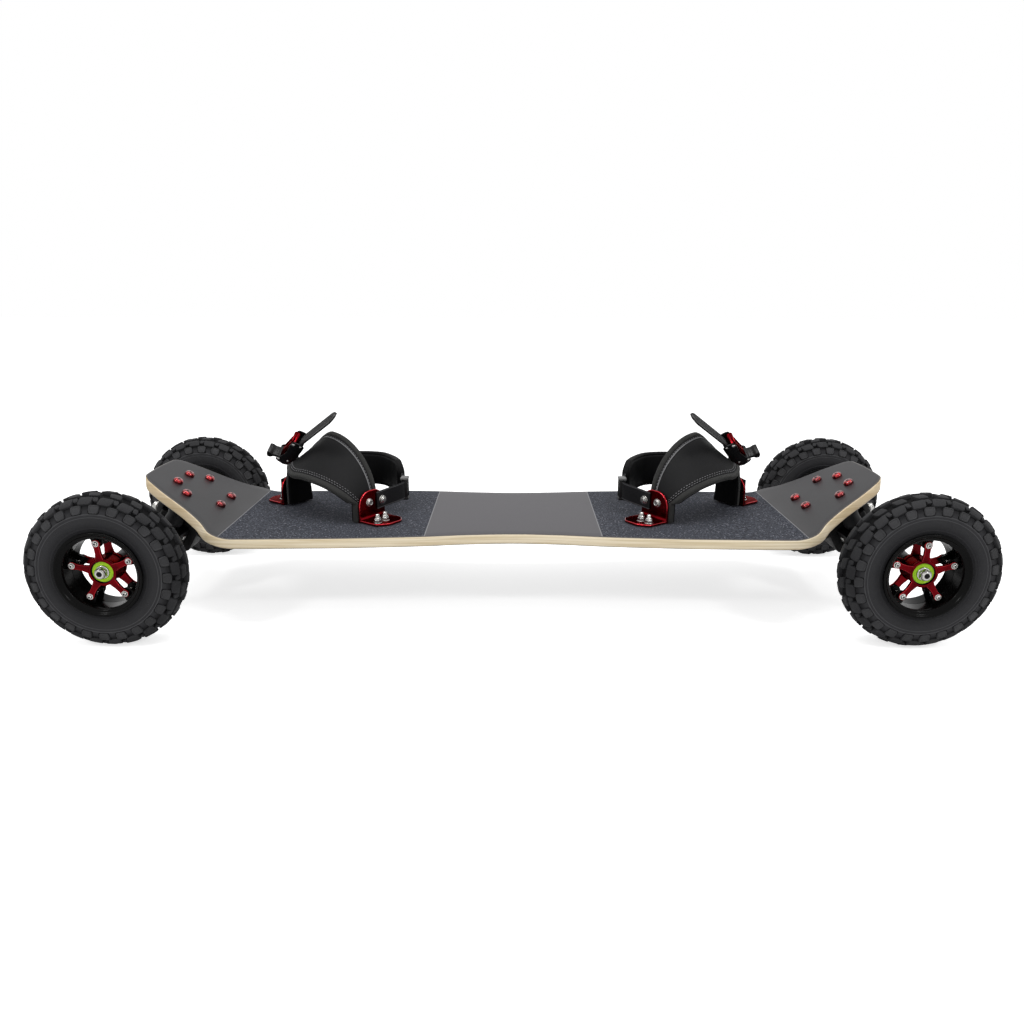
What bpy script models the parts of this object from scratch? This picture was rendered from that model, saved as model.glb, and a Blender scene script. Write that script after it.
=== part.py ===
"""Mountainboard: a deck on two lean-to-steer trucks, with four pneumatic wheels and two ratchet bindings.

Metres, +Z up, +X along the board, ground at z = 0, origin under the middle of the deck.
Left is -X, right is +X, near is -Y and far is +Y. The board is built as separate solids, one per real piece.
"""

import math

import bmesh
import bpy
from mathutils import Matrix, Vector

# Fits between pieces
GAP = 0.0003
RUNNING_GAP = 0.0004

# Wheels
WHEELBASE = 1.0214
TRACK = 0.360
TYRE_RADIUS = 0.100
TYRE_HALF_WIDTH = 0.0245
TYRE_WALL = 0.0060
TYRE_CROWN_DROP = 0.0040
TYRE_SEGMENTS = 26
RIM_RADIUS = 0.0480
RIM_WALL = 0.0025
RIM_LIP_RADIUS = 0.0551
RIM_HALF_WIDTH = 0.0262
RIM_LIP_THICKNESS = 0.0040
RIM_SEGMENTS = 18
EAR_THICKNESS = 0.0040
EAR_OUTER_FACE = 0.0105
EAR_HALF_WIDTH = 0.0062
BOLT_CIRCLE_RADIUS = 0.0375
STAR_ARMS = 5
STAR_THICKNESS = 0.0040
ARM_HALF_WIDTH = 0.0038
ARM_END_RADIUS = 0.0050
RIM_SCREW_RADIUS = 0.0026
RIM_SCREW_HEAD = 0.0028
SPOOL_RADIUS = 0.0178
SPOOL_SEGMENTS = 14
BEARING_RADIUS = 0.0140
BEARING_WIDTH = 0.0080
BEARING_SEGMENTS = SPOOL_SEGMENTS
BEARING_FACE = 0.0128
AXLE_RADIUS = 0.0060
AXLE_NUT_FLATS = 0.0170
AXLE_NUT_HEIGHT = 0.0085
AXLE_END_PAST_NUT = 0.0009
AXLE_COLLAR_RADIUS = 0.0088
STAR_PHASE = {
    ("left", "near"): 23.0,
    ("right", "near"): 17.0,
    ("left", "far"): 50.0,
    ("right", "far"): 8.0,
}

# Deck
DECK_TOP = 0.1247
DECK_THICKNESS = 0.0143
DECK_EDGE_RADIUS = 0.0035
CAMBER = 0.0028
CAMBER_SPAN = 0.375
BEND_INSIDE_AXLE = 0.1217
BEND_X = WHEELBASE / 2 - BEND_INSIDE_AXLE
BEND_HALF_LENGTH = 0.017
TIP_ANGLE = math.radians(30.1)
TIP_REACH = 0.1208
DECK_END_X = BEND_X + TIP_REACH
DECK_END_BOW = 0.0012
DECK_CORNER_RADIUS = 0.0130
DECK_END_UPRIGHT_LENGTH = 0.0200
# Half width of the deck at distances from its middle, then from its bend. One smooth curve runs through them.
WAIST_HALF_WIDTHS = (
    (0.000, 0.1105),
    (0.060, 0.1140),
    (0.120, 0.1215),
    (0.180, 0.1258),
)
TIP_HALF_WIDTHS = (
    (-0.139, 0.1285),
    (-0.049, 0.1280),
    (-0.004, 0.1262),
    (0.011, 0.1235),
    (0.031, 0.1045),
    (0.055, 0.0898),
    (0.089, 0.0755),
    (0.121, 0.0575),
)
DECK_HALF_WIDTHS = WAIST_HALF_WIDTHS + tuple((BEND_X + past, half) for past, half in TIP_HALF_WIDTHS)

# Trucks, in a frame on the kingpin: t runs outward and up along it, y across, n square to the deck tip
KINGPIN_ABOVE_AXLE = 0.0230
KINGPIN_RADIUS = 0.0050
KINGPIN_NUT_FLATS = 0.0130
KINGPIN_NUT_HEIGHT = 0.0065
KINGPIN_HEAD_HEIGHT = 0.0055
KINGPIN_THREAD_PAST_NUT = 0.0028
PLATE_THICKNESS = 0.0055
PLATE_OUTER_T = 0.0270
PLATE_INNER_T = -0.0750
PLATE_END_HALF_WIDTH = 0.0310
PLATE_WING_HALF_WIDTH = 0.0580
PLATE_WING_TS = (0.006, -0.036)
DECK_BOLT_PLACES = ((0.0079, 0.0212), (-0.0153, 0.0445), (-0.0589, 0.0225))
DECK_BOLT_RADIUS = 0.0030
DECK_BOLT_HEAD_RADIUS = 0.0066
DECK_BOLT_HEAD_HEIGHT = 0.0044
FRAME_TOP_THICKNESS = 0.0060
FRAME_HALF_WIDTH = 0.0240
ARM_LOW_N = -0.0110
OUTER_ARM_TS = (0.0115, 0.0205)
INNER_ARM_TS = (-0.0600, -0.0480)
FRAME_ARM_END_HALF_WIDTH = 0.0120
HANGER_TOP_N = 0.0100
HANGER_LOW_N = -0.0330
HANGER_HALF_WIDTH = 0.0240
WING_TS = (-0.0360, 0.0060)
WING_NS = (-0.0310, 0.0030)
WING_END_Y = 0.0580
HANGER_SCREW_Y = 0.0400
HANGER_SCREW_NS = (-0.0060, -0.0170)
HANGER_SCREW_RADIUS = 0.0040
HANGER_SCREW_HEAD = 0.0030
HANGER_ARM_ROOT_RADIUS = 0.0140
HANGER_ARM_END_RADIUS = 0.0090
AXLE_COLLAR_LENGTH = 0.0166
HANGER_END_Y = TRACK / 2 - BEARING_FACE - AXLE_COLLAR_LENGTH - 2 * GAP
DAMPER_T = -0.0150
DAMPER_Y = 0.0435
DAMPER_END_RADIUS = 0.0105
DAMPER_MIDDLE_RADIUS = 0.0128

# Bindings, in a frame on the deck: x from the far foot to the near foot, y from toe to heel, z up
BINDING_X = 0.2749
BINDING_Y = 0.0136
STANCE_ANGLE = math.radians(35.75)
FLANGE_INNER_X = {"near": 0.0902, "far": 0.0717}
FLANGE_THICKNESS = 0.0035
FLANGE_HEIGHT = 0.0440
FLANGE_YS = {"near": (-0.0242, 0.0251), "far": (-0.0235, 0.0258)}
FLANGE_CORNER_RADIUS = 0.0210
FOOT_PLATE_THICKNESS = 0.0035
PLATE_REACH = 0.0458
FOOT_PLATE_CHAMFER = 0.0106
FOOT_BOLT_REACH = {"near": 0.0263, "far": 0.0165}
FOOT_BOLT_YS = {"near": (-0.0165, -0.0020), "far": (-0.0060, 0.0126)}
FOOT_BOLT_RADIUS = 0.0030
FOOT_BOLT_HEAD_RADIUS = 0.0065
FOOT_BOLT_HEAD_HEIGHT = 0.0025
FOOT_NUT_RADIUS = 0.0054
FOOT_NUT_HEIGHT = 0.0078
FOOT_BOLT_PAST_NUT = 0.0048
STRAP_BOLT_HEIGHT = 0.0273
STRAP_BOLT_Y = {"near": 0.0174, "far": -0.0100}
PAD_BOLT_Y = -0.0058
STRAP_BOLT_RADIUS = 0.0030
STRAP_BOLT_HEAD_RADIUS = 0.0062
STRAP_BOLT_HEAD_HEIGHT = 0.0045

PAD_NEAR_X = 0.0899
PAD_FAR_X = 0.0678
PAD_SPRING_HEIGHT = 0.0293
PAD_FOOT_HEIGHT = 0.0025
PAD_HEEL_RISE = 0.0866
PAD_TOE_RISE = 0.0315
PAD_HEEL_YS = (0.0152, 0.0243)
PAD_TOE_FOOT_YS = (-0.0282, -0.0175)
PAD_TOE_REACH = 0.0252
PAD_TOE_ROUNDNESS = 0.62
PAD_NEAR_FLATNESS = 1.065
PAD_FAR_FLATNESS = 1.30
PAD_FAR_TAPER = 0.72
PAD_THICKNESS = 0.0085
PAD_CROWN = 0.0012
PAD_RIM_RISE = 0.0012
PAD_RIM_SHARE = 0.14
PAD_STATIONS = 20

LADDER_THICKNESS = 0.0030
LADDER_HALF_WIDTH = 0.0110
LADDER_FOOT_HEIGHT = 0.0080
LADDER_BEND_RADIUS = 0.0120
LADDER_FREE_LENGTH = 0.1090
LADDER_TWIST_START = 0.0455
LADDER_TWIST_END = 0.0540
LADDER_TAPER_LENGTH = 0.0160
RATCHET_X = -0.0518
RATCHET_Y = -0.0112
RATCHET_HEIGHT = 0.0894
RATCHET_SLOPE = math.radians(31.5)
RATCHET_TILT = math.radians(42.0)
RATCHET_WALL = 0.0017
RATCHET_FLOOR = 0.0018
RATCHET_FLOOR_DS = (-0.0045, 0.0250)
# A cheek's outline along the strap and out from it.
RATCHET_CHEEK = (
    (-0.0245, -0.0135),
    (-0.0080, -0.0122),
    (0.0095, -0.0086),
    (0.0260, -0.0056),
    (0.0260, 0.0034),
    (0.0230, 0.0112),
    (0.0120, 0.0112),
    (-0.0040, 0.0062),
    (-0.0200, 0.0066),
    (-0.0250, 0.0100),
    (-0.0303, 0.0100),
    (-0.0325, 0.0060),
    (-0.0325, -0.0050),
)
LEVER_PIVOT = (0.0180, 0.0078)
LEVER_HALF_WIDTH = 0.0098
LEVER_THICKNESS = 0.0030
LEVER_REACH = 0.0395
LEVER_BARREL_RADIUS = 0.0042
LEVER_LIP = 0.0034
PIN_RADIUS = 0.0019
PIN_HEAD_RADIUS = 0.0030
PIN_HEAD_HEIGHT = 0.0014
RELEASE_PIVOT = (-0.0275, 0.0062)
RELEASE_END = (-0.0375, 0.0215)
RELEASE_BARREL_RADIUS = 0.0031
RELEASE_END_HALF_THICKNESS = 0.0054

WEBBING_THICKNESS = 0.0020
WEBBING_HALF_WIDTH = 0.0125
HEEL_PAD_THICKNESS = 0.0120
HEEL_PAD_HALF_HEIGHT = 0.0262
HEEL_PAD_MIDDLE_HEIGHT = 0.0402
ADJUSTER_HALF_HEIGHT = 0.0160
ADJUSTER_HALF_THICKNESS = 0.0030
ADJUSTER_HEIGHT = 0.0350
ADJUSTER_OUT = 0.0070
HEEL_CORNER_Y = {"near": 0.0620, "far": 0.0580}
HEEL_APEX_Y = 0.1190

PAINT = {
    "deck_top": ((0.030, 0.031, 0.034), 0.62, 0.0),
    "red_anodised": ((0.420, 0.008, 0.012), 0.28, 0.9),
    "black_metal": ((0.012, 0.012, 0.013), 0.35, 0.6),
    "steel": ((0.560, 0.560, 0.550), 0.25, 1.0),
    "rubber": ((0.020, 0.020, 0.021), 0.75, 0.0),
    "damper": ((0.014, 0.014, 0.015), 0.55, 0.0),
    "black_plastic": ((0.011, 0.011, 0.012), 0.42, 0.0),
    "padding": ((0.016, 0.016, 0.018), 0.70, 0.0),
    "webbing": ((0.012, 0.012, 0.013), 0.85, 0.0),
    "lime_seal": ((0.330, 0.640, 0.020), 0.45, 0.0),
}


def make_material(name):
    """A Principled material with its colour, roughness and metallic value."""
    colour, roughness, metallic = PAINT[name]
    material = bpy.data.materials.new(name)
    material.use_nodes = True
    shader = material.node_tree.nodes["Principled BSDF"]
    shader.inputs["Base Color"].default_value = (*colour, 1.0)
    shader.inputs["Roughness"].default_value = roughness
    shader.inputs["Metallic"].default_value = metallic
    material.diffuse_color = (*colour, 1.0)
    return material


# Geometry helpers


def shape(points, faces):
    """A helper object of one closed mesh, with its faces turned outward."""
    mesh = bpy.data.meshes.new("shape")
    mesh.from_pydata([tuple(point) for point in points], [], faces)
    build = bmesh.new()
    build.from_mesh(mesh)
    bmesh.ops.recalc_face_normals(build, faces=build.faces)
    if build.calc_volume(signed=True) < 0.0:
        bmesh.ops.reverse_faces(build, faces=build.faces)
    build.to_mesh(mesh)
    build.free()
    helper = bpy.data.objects.new("shape", mesh)
    bpy.context.collection.objects.link(helper)
    return helper


def axes(origin, x_axis, y_axis, z_axis):
    """The matrix that takes (x, y, z) to origin + x * x_axis + y * y_axis + z * z_axis."""
    columns = Matrix((x_axis, y_axis, z_axis)).transposed().to_4x4()
    return Matrix.Translation(origin) @ columns


ALONG_X = axes((0, 0, 0), (0, 1, 0), (0, 0, 1), (1, 0, 0))
ALONG_Y = axes((0, 0, 0), (1, 0, 0), (0, 0, 1), (0, 1, 0))
ALONG_Z = Matrix.Identity(4)


def loft(rings):
    """A closed solid through rings of equally many points, with flat end caps."""
    count = len(rings[0])
    points = [point for ring in rings for point in ring]
    faces = []
    for row in range(len(rings) - 1):
        for k in range(count):
            after = (k + 1) % count
            low, high = row * count, (row + 1) * count
            faces.append((low + k, low + after, high + after, high + k))
    faces.append(tuple(range(count)))
    faces.append(tuple(range((len(rings) - 1) * count, len(rings) * count)))
    return shape(points, faces)


def prism(outline, low, high, place=ALONG_Z):
    """The flat outline, drawn in x and y, from low to high along z."""
    rings = [[place @ Vector((x, y, z)) for x, y in outline] for z in (low, high)]
    return loft(rings)


def turned(profile, segments, place=ALONG_Z, closed=True, start=0.0):
    """(axial, radius) points turned about z: a closed loop makes a ring, an open run makes a solid."""
    steps = [start + math.tau * k / segments for k in range(segments)]
    rings = [[place @ Vector((r * math.cos(a), r * math.sin(a), z)) for z, r in profile] for a in steps]
    if not closed:
        return loft([[ring[k] for ring in rings] for k in range(len(profile))])
    count = len(profile)
    points = [point for ring in rings for point in ring]
    faces = []
    for row in range(segments):
        low, high = row * count, ((row + 1) % segments) * count
        for k in range(count):
            after = (k + 1) % count
            faces.append((low + k, low + after, high + after, high + k))
    return shape(points, faces)


def rod(low, high, radius, segments=8, place=ALONG_Z, start=0.0):
    return turned(((low, radius), (high, radius)), segments, place, closed=False, start=start)


def hexagon(low, high, flats, place=ALONG_Z):
    return rod(low, high, flats / 2 / math.cos(math.pi / 6), 6, place)


def box(xs, ys, zs):
    outline = ((xs[0], ys[0]), (xs[1], ys[0]), (xs[1], ys[1]), (xs[0], ys[1]))
    return prism(outline, zs[0], zs[1])


def arc(centre, radius, start, end, steps):
    """Points on a circle from one angle to another, both in degrees."""
    angles = [math.radians(start + (end - start) * k / steps) for k in range(steps + 1)]
    return [(centre[0] + radius * math.cos(a), centre[1] + radius * math.sin(a)) for a in angles]


def moved(place, offset):
    return Matrix.Translation(offset) @ place


def drop(helper):
    mesh = helper.data
    bpy.data.objects.remove(helper)
    bpy.data.meshes.remove(mesh)


def gathered(helpers):
    """One helper from several that stand clear of each other."""
    build = bmesh.new()
    for helper in helpers:
        build.from_mesh(helper.data)
        drop(helper)
    mesh = bpy.data.meshes.new("gathered")
    build.to_mesh(mesh)
    build.free()
    whole = bpy.data.objects.new("gathered", mesh)
    bpy.context.collection.objects.link(whole)
    return whole


def piece(name, material, solids, cutters=(), parent=None, smooth_angle=35.0):
    """Joins the solids, takes the cutters away and names the result as one sub-part on its parent."""
    base = solids[0]
    for tool, operation in [(s, "UNION") for s in solids[1:]] + [(c, "DIFFERENCE") for c in cutters]:
        step = base.modifiers.new("step", "BOOLEAN")
        step.operation = operation
        step.solver = "EXACT"
        step.object = tool
    graph = bpy.context.evaluated_depsgraph_get()
    mesh = bpy.data.meshes.new_from_object(base.evaluated_get(graph))
    for helper in [*solids, *cutters]:
        drop(helper)
    mesh.name = name
    mesh.materials.clear()
    mesh.materials.append(MATERIALS[material])
    mesh.shade_smooth()
    mesh.set_sharp_from_angle(angle=math.radians(smooth_angle))
    made = bpy.data.objects.new(name, mesh)
    made.parent = parent
    bpy.context.collection.objects.link(made)
    return made


def empty(name, place, parent=None):
    """An unseen anchor that carries its pieces, placed in its parent's frame."""
    anchor = bpy.data.objects.new(name, None)
    anchor.empty_display_size = 0.03
    anchor.parent = parent
    anchor.matrix_local = place
    bpy.context.collection.objects.link(anchor)
    return anchor


# Deck surface


def smooth_through(points, x):
    """A cubic curve through the points, whose slope at each is the mean of its neighbours'."""
    xs = [p[0] for p in points]
    ys = [p[1] for p in points]
    slopes = [(ys[k + 1] - ys[k]) / (xs[k + 1] - xs[k]) for k in range(len(xs) - 1)]
    tangents = [0.0]
    for k in range(1, len(slopes)):
        before, after = slopes[k - 1], slopes[k]
        same = before * after > 0
        tangents.append(2 * before * after / (before + after) if same else 0.0)
    tangents.append(slopes[-1])
    k = max(i for i in range(len(slopes)) if x >= xs[i] or i == 0)
    h = xs[k + 1] - xs[k]
    s = (x - xs[k]) / h
    near = ys[k] * (1 + 2 * s) * (1 - s) ** 2 + h * tangents[k] * s * (1 - s) ** 2
    far = ys[k + 1] * s * s * (3 - 2 * s) + h * tangents[k + 1] * s * s * (s - 1)
    return near + far


BEND_START = BEND_X - BEND_HALF_LENGTH
BEND_END = BEND_X + BEND_HALF_LENGTH
SLOPE_AT_BEND = -2 * CAMBER * BEND_START / CAMBER_SPAN**2
TIP_SLOPE = math.tan(TIP_ANGLE)


def deck_slope(x):
    if x < BEND_START:
        return -2 * CAMBER * x / CAMBER_SPAN**2
    share = min((x - BEND_START) / (BEND_END - BEND_START), 1.0)
    return SLOPE_AT_BEND + (TIP_SLOPE - SLOPE_AT_BEND) * share


def deck_top(x):
    """Height of the deck's top at a distance x from the middle: camber, then the bend, then the flat tip."""
    x = abs(x)
    flat = min(x, BEND_START)
    height = DECK_TOP - CAMBER * (flat / CAMBER_SPAN) ** 2
    bent = min(max(x - BEND_START, 0.0), BEND_END - BEND_START)
    height += bent * (SLOPE_AT_BEND + deck_slope(BEND_START + bent)) / 2
    return height + max(x - BEND_END, 0.0) * TIP_SLOPE


def deck_stations():
    """(x, half width) along one half of the deck, from the middle to the rounded end corner."""
    corner_x = DECK_END_X - DECK_CORNER_RADIUS
    xs = [0.0, 0.04, 0.08, 0.12, 0.16]
    xs += [BEND_X - before for before in (0.179, 0.119, 0.059)]
    xs += [BEND_START + (BEND_END - BEND_START) * k / 5 for k in range(6)]
    xs += [BEND_X + past for past in (0.025, 0.035, 0.051, 0.069, 0.089)]
    stations = [(x, smooth_through(DECK_HALF_WIDTHS, x)) for x in xs]
    side = smooth_through(DECK_HALF_WIDTHS, corner_x)
    end = smooth_through(DECK_HALF_WIDTHS, DECK_END_X)
    for degrees in (0, 35, 65, 90):
        angle = math.radians(degrees)
        x = corner_x + DECK_CORNER_RADIUS * math.sin(angle)
        lean = side + (end - side) * math.sin(angle)
        stations.append((x, lean - DECK_CORNER_RADIUS * (1 - math.cos(angle))))
    stations.append((DECK_END_X + DECK_END_BOW, (end - DECK_CORNER_RADIUS) / 2))
    return stations


def deck_ring(x, half_width, side):
    """One cross-section of the deck with rounded edges: square to its surface, turning upright at the end."""
    slope = deck_slope(x)
    length = math.hypot(1.0, slope)
    normal = (-slope / length, 1.0 / length)
    top = deck_top(x)
    r, t = DECK_EDGE_RADIUS, DECK_THICKNESS
    edge = ((-r, 0.0), (0.0, 0.8 * r), (0.0, t - 0.8 * r), (-r, t))
    right = [(half_width + y, depth) for y, depth in edge]
    left = [(-y, depth) for y, depth in reversed(right)]
    run = [(0.0, 0.0), *right, (0.0, t), *left]
    upright = min(max(1.0 - (DECK_END_X - x) / DECK_END_UPRIGHT_LENGTH, 0.0), 1.0)
    inward = normal[0] * (1.0 - upright)
    down = normal[1] * (1.0 - upright) + upright / normal[1]
    ring = []
    for y, depth in run:
        ring.append(((x - depth * inward) * side, y, top - depth * down))
    return ring


def make_deck(parent, holes):
    stations = deck_stations()
    rings = [deck_ring(x, w, -1) for x, w in reversed(stations)]
    rings += [deck_ring(x, w, 1) for x, w in stations[1:]]
    return piece("deck", "deck_top", [loft(rings)], [gathered(holes)], parent, smooth_angle=40.0)


# Trucks


def kingpin_origin():
    """Where the kingpin's axis passes the axle, on the left side."""
    outward = Vector((-math.cos(TIP_ANGLE), 0.0, math.sin(TIP_ANGLE)))
    normal = Vector((math.sin(TIP_ANGLE), 0.0, math.cos(TIP_ANGLE)))
    axle = Vector((-WHEELBASE / 2, 0.0, TYRE_RADIUS))
    return axle + KINGPIN_ABOVE_AXLE * normal, outward, normal


def tip_underside():
    """Distance along n from the kingpin to the underside of the deck's tip."""
    origin, _, normal = kingpin_origin()
    on_tip = Vector((-BEND_END, 0.0, deck_top(BEND_END)))
    return (on_tip - origin).dot(normal) - DECK_THICKNESS


def truck_place(side):
    """The truck frame: x is t, y is across, z is n. The right truck is the left one turned half round."""
    origin, outward, normal = kingpin_origin()
    across = normal.cross(outward)
    place = axes(origin, outward, across, normal)
    return place if side == "left" else Matrix.Rotation(math.pi, 4, "Z") @ place


def deck_bolt_holes(side):
    under = tip_underside()
    holes = []
    for t, y in DECK_BOLT_PLACES:
        for across in (-y, y):
            place = truck_place(side) @ Matrix.Translation((t, across, 0))
            holes.append(rod(under - 0.004, under + DECK_THICKNESS + 0.004, DECK_BOLT_RADIUS + GAP, 8, place))
    return holes


def make_base_plate(side, parent):
    """The red plate under the tip, with its dome-headed bolts standing through the deck."""
    top = tip_underside() - GAP
    end, wing = PLATE_END_HALF_WIDTH, PLATE_WING_HALF_WIDTH
    half = [
        (PLATE_OUTER_T, end - 0.006),
        (PLATE_OUTER_T - 0.006, end),
        (PLATE_WING_TS[0] + 0.008, end + 0.004),
        (PLATE_WING_TS[0] - 0.004, wing),
        (PLATE_WING_TS[1] + 0.004, wing),
        (PLATE_WING_TS[1] - 0.010, end + 0.002),
        (PLATE_INNER_T + 0.006, end),
        (PLATE_INNER_T, end - 0.006),
    ]
    outline = half + [(t, -y) for t, y in reversed(half)]
    solids = [prism(outline, top - PLATE_THICKNESS, top)]
    seat = tip_underside() + DECK_THICKNESS + GAP
    head, rise = DECK_BOLT_HEAD_RADIUS, DECK_BOLT_HEAD_HEIGHT
    for t, y in DECK_BOLT_PLACES:
        for across in (-y, y):
            place = Matrix.Translation((t, across, 0))
            profile = (
                (top - 0.001, DECK_BOLT_RADIUS),
                (seat, DECK_BOLT_RADIUS),
                (seat, head),
                (seat + rise, 0.55 * head),
            )
            solids.append(turned(profile, 8, place, closed=False))
    return piece(f"truck_{side}_base_plate", "red_anodised", solids, (), parent)


def plate_underside():
    return tip_underside() - GAP - PLATE_THICKNESS


def kingpin_bore(low, high):
    return rod(low, high, KINGPIN_RADIUS + RUNNING_GAP, 12, ALONG_X)


def make_truck_frame(side, parent):
    """The black channel that holds the kingpin at both ends."""
    top = plate_underside() - GAP
    across = (-FRAME_HALF_WIDTH, FRAME_HALF_WIDTH)
    along = (INNER_ARM_TS[0] - 0.012, OUTER_ARM_TS[1] + 0.006)
    solids = [box(along, across, (top - FRAME_TOP_THICKNESS, top))]
    low, end = ARM_LOW_N, FRAME_ARM_END_HALF_WIDTH
    wide = FRAME_HALF_WIDTH - 0.003
    arm = [(wide, top - 0.002), (wide, top - 0.012), (end + 0.001, low + 0.006), (end - 0.005, low)]
    arm += [(-y, n) for y, n in reversed(arm)]
    for ts in (OUTER_ARM_TS, INNER_ARM_TS):
        solids.append(prism(arm, ts[0], ts[1], ALONG_X))
    bores = [kingpin_bore(INNER_ARM_TS[0] - 0.005, OUTER_ARM_TS[1] + 0.005)]
    return piece(f"truck_{side}_frame", "black_metal", solids, bores, parent)


def make_kingpin(side, parent):
    """The steel bolt that the hanger leans about, with its head inboard and its lock nut outboard."""
    head_seat = INNER_ARM_TS[0] - GAP
    nut_seat = OUTER_ARM_TS[1] + GAP
    nut_top = nut_seat + KINGPIN_NUT_HEIGHT
    solids = [
        rod(head_seat - 0.001, nut_top + KINGPIN_THREAD_PAST_NUT, KINGPIN_RADIUS, 12, ALONG_X),
        hexagon(head_seat - KINGPIN_HEAD_HEIGHT, head_seat, KINGPIN_NUT_FLATS, ALONG_X),
        hexagon(nut_seat, nut_top, KINGPIN_NUT_FLATS, ALONG_X),
    ]
    return piece(f"truck_{side}_kingpin", "steel", solids, (), parent)


def make_hanger(side, parent):
    """The black casting that leans on the kingpin and carries the axle."""
    ts = (INNER_ARM_TS[1] + GAP, OUTER_ARM_TS[0] - GAP)
    across = (-HANGER_HALF_WIDTH, HANGER_HALF_WIDTH)
    block = [
        (ts[0], HANGER_LOW_N + 0.004),
        (ts[0] + 0.004, HANGER_LOW_N),
        (ts[1] - 0.010, HANGER_LOW_N - 0.002),
        (ts[1], HANGER_LOW_N + 0.010),
        (ts[1], HANGER_TOP_N),
        (ts[0], HANGER_TOP_N),
    ]
    solids = [prism(block, across[0], across[1], ALONG_Y)]
    wing = [
        (WING_TS[0], WING_NS[0] + 0.004),
        (WING_TS[0] + 0.004, WING_NS[0]),
        (WING_TS[1] - 0.004, WING_NS[0]),
        (WING_TS[1], WING_NS[0] + 0.006),
        (WING_TS[1], WING_NS[1]),
        (WING_TS[0], WING_NS[1]),
    ]
    solids.append(prism(wing, -WING_END_Y, WING_END_Y, ALONG_Y))
    axle = moved(ALONG_Y, (0.0, 0.0, -KINGPIN_ABOVE_AXLE))
    root, end = HANGER_ARM_ROOT_RADIUS, HANGER_ARM_END_RADIUS
    arms = [(-HANGER_END_Y, end), (-0.072, root), (0.072, root), (HANGER_END_Y, end)]
    solids.append(turned(arms, 16, axle, closed=False))
    screw = [(HANGER_SCREW_RADIUS * math.cos(a), HANGER_SCREW_RADIUS * math.sin(a)) for a in angles_of(8)]
    for y in (-HANGER_SCREW_Y, HANGER_SCREW_Y):
        for n in HANGER_SCREW_NS:
            face = WING_TS[0]
            place = moved(ALONG_X, (0.0, y, n))
            solids.append(prism(screw, face - HANGER_SCREW_HEAD, face + 0.003, place))
    bores = [
        kingpin_bore(ts[0] - 0.005, ts[1] + 0.005),
        rod(-HANGER_END_Y - 0.01, HANGER_END_Y + 0.01, AXLE_RADIUS + GAP, 12, axle),
    ]
    return piece(f"truck_{side}_hanger", "black_metal", solids, bores, parent)


def angles_of(count):
    return [math.tau * (k + 0.5) / count for k in range(count)]


def make_damper(side, where, parent):
    """An elastomer barrel between the hanger's wing and the base plate."""
    low = WING_NS[1] + GAP
    high = plate_underside() - GAP
    middle = (low + high) / 2
    quarter = (high - low) / 4
    end, waist = DAMPER_END_RADIUS, DAMPER_MIDDLE_RADIUS
    upper = (middle + quarter, waist)
    profile = ((low, end), (middle - quarter, waist), (middle, waist * 0.93), upper, (high, end))
    y = DAMPER_Y if where == "far" else -DAMPER_Y
    y = y if side == "left" else -y
    place = Matrix.Translation((DAMPER_T, y, 0.0))
    barrel = turned(profile, 12, place, closed=False)
    return piece(f"truck_{side}_damper_{where}", "damper", [barrel], (), parent)


def make_axle(side, parent):
    """The through axle, with a collar behind each wheel and a threaded end outside it."""
    end = TRACK / 2 + BEARING_FACE + GAP + AXLE_NUT_HEIGHT + AXLE_END_PAST_NUT
    collar_in = HANGER_END_Y + GAP
    collar_out = TRACK / 2 - BEARING_FACE - GAP
    place = moved(ALONG_Y, (0.0, 0.0, -KINGPIN_ABOVE_AXLE))
    half = [(collar_in, AXLE_RADIUS), (collar_in, AXLE_COLLAR_RADIUS), (collar_out, AXLE_COLLAR_RADIUS)]
    half += [(collar_out, AXLE_RADIUS - RUNNING_GAP), (end, AXLE_RADIUS - RUNNING_GAP)]
    profile = [(-z, r) for z, r in reversed(half)] + half
    return piece(f"truck_{side}_axle", "steel", [turned(profile, 12, place, closed=False)], (), parent)


# Wheels, in a frame with z outward along the axle


def wheel_place(side, where):
    x = -WHEELBASE / 2 if side == "left" else WHEELBASE / 2
    y = -TRACK / 2 if where == "near" else TRACK / 2
    turn = math.pi / 2 if where == "near" else -math.pi / 2
    return Matrix.Translation((x, y, TYRE_RADIUS)) @ Matrix.Rotation(turn, 4, "X")


def flange_inner_face():
    return RIM_HALF_WIDTH - RIM_LIP_THICKNESS


def make_tyre(name, parent):
    """The tyre: crown, shoulders, sidewalls and beads, hollow for its inner tube."""
    bead_r = (RIM_RADIUS + GAP) / math.cos(math.pi / TYRE_SEGMENTS)
    bead_w = flange_inner_face() - GAP
    wide, crown = TYRE_HALF_WIDTH, TYRE_RADIUS
    outer = [
        (0.0, crown),
        (0.62 * wide, crown - TYRE_CROWN_DROP),
        (0.95 * wide, crown - 0.0150),
        (wide, crown - 0.0280),
        (bead_w, RIM_LIP_RADIUS - 0.0010),
        (bead_w, bead_r),
    ]
    inner = [
        (bead_w - TYRE_WALL, bead_r),
        (wide - TYRE_WALL, crown - 0.0280),
        (0.0, crown - TYRE_WALL - 0.0020),
    ]
    half = outer + inner
    mirrored = [(-w, r) for w, r in half if w != 0.0]
    profile = half + list(reversed(mirrored))
    return piece(f"{name}_tyre", "rubber", [turned(profile, TYRE_SEGMENTS)], (), parent)


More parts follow.
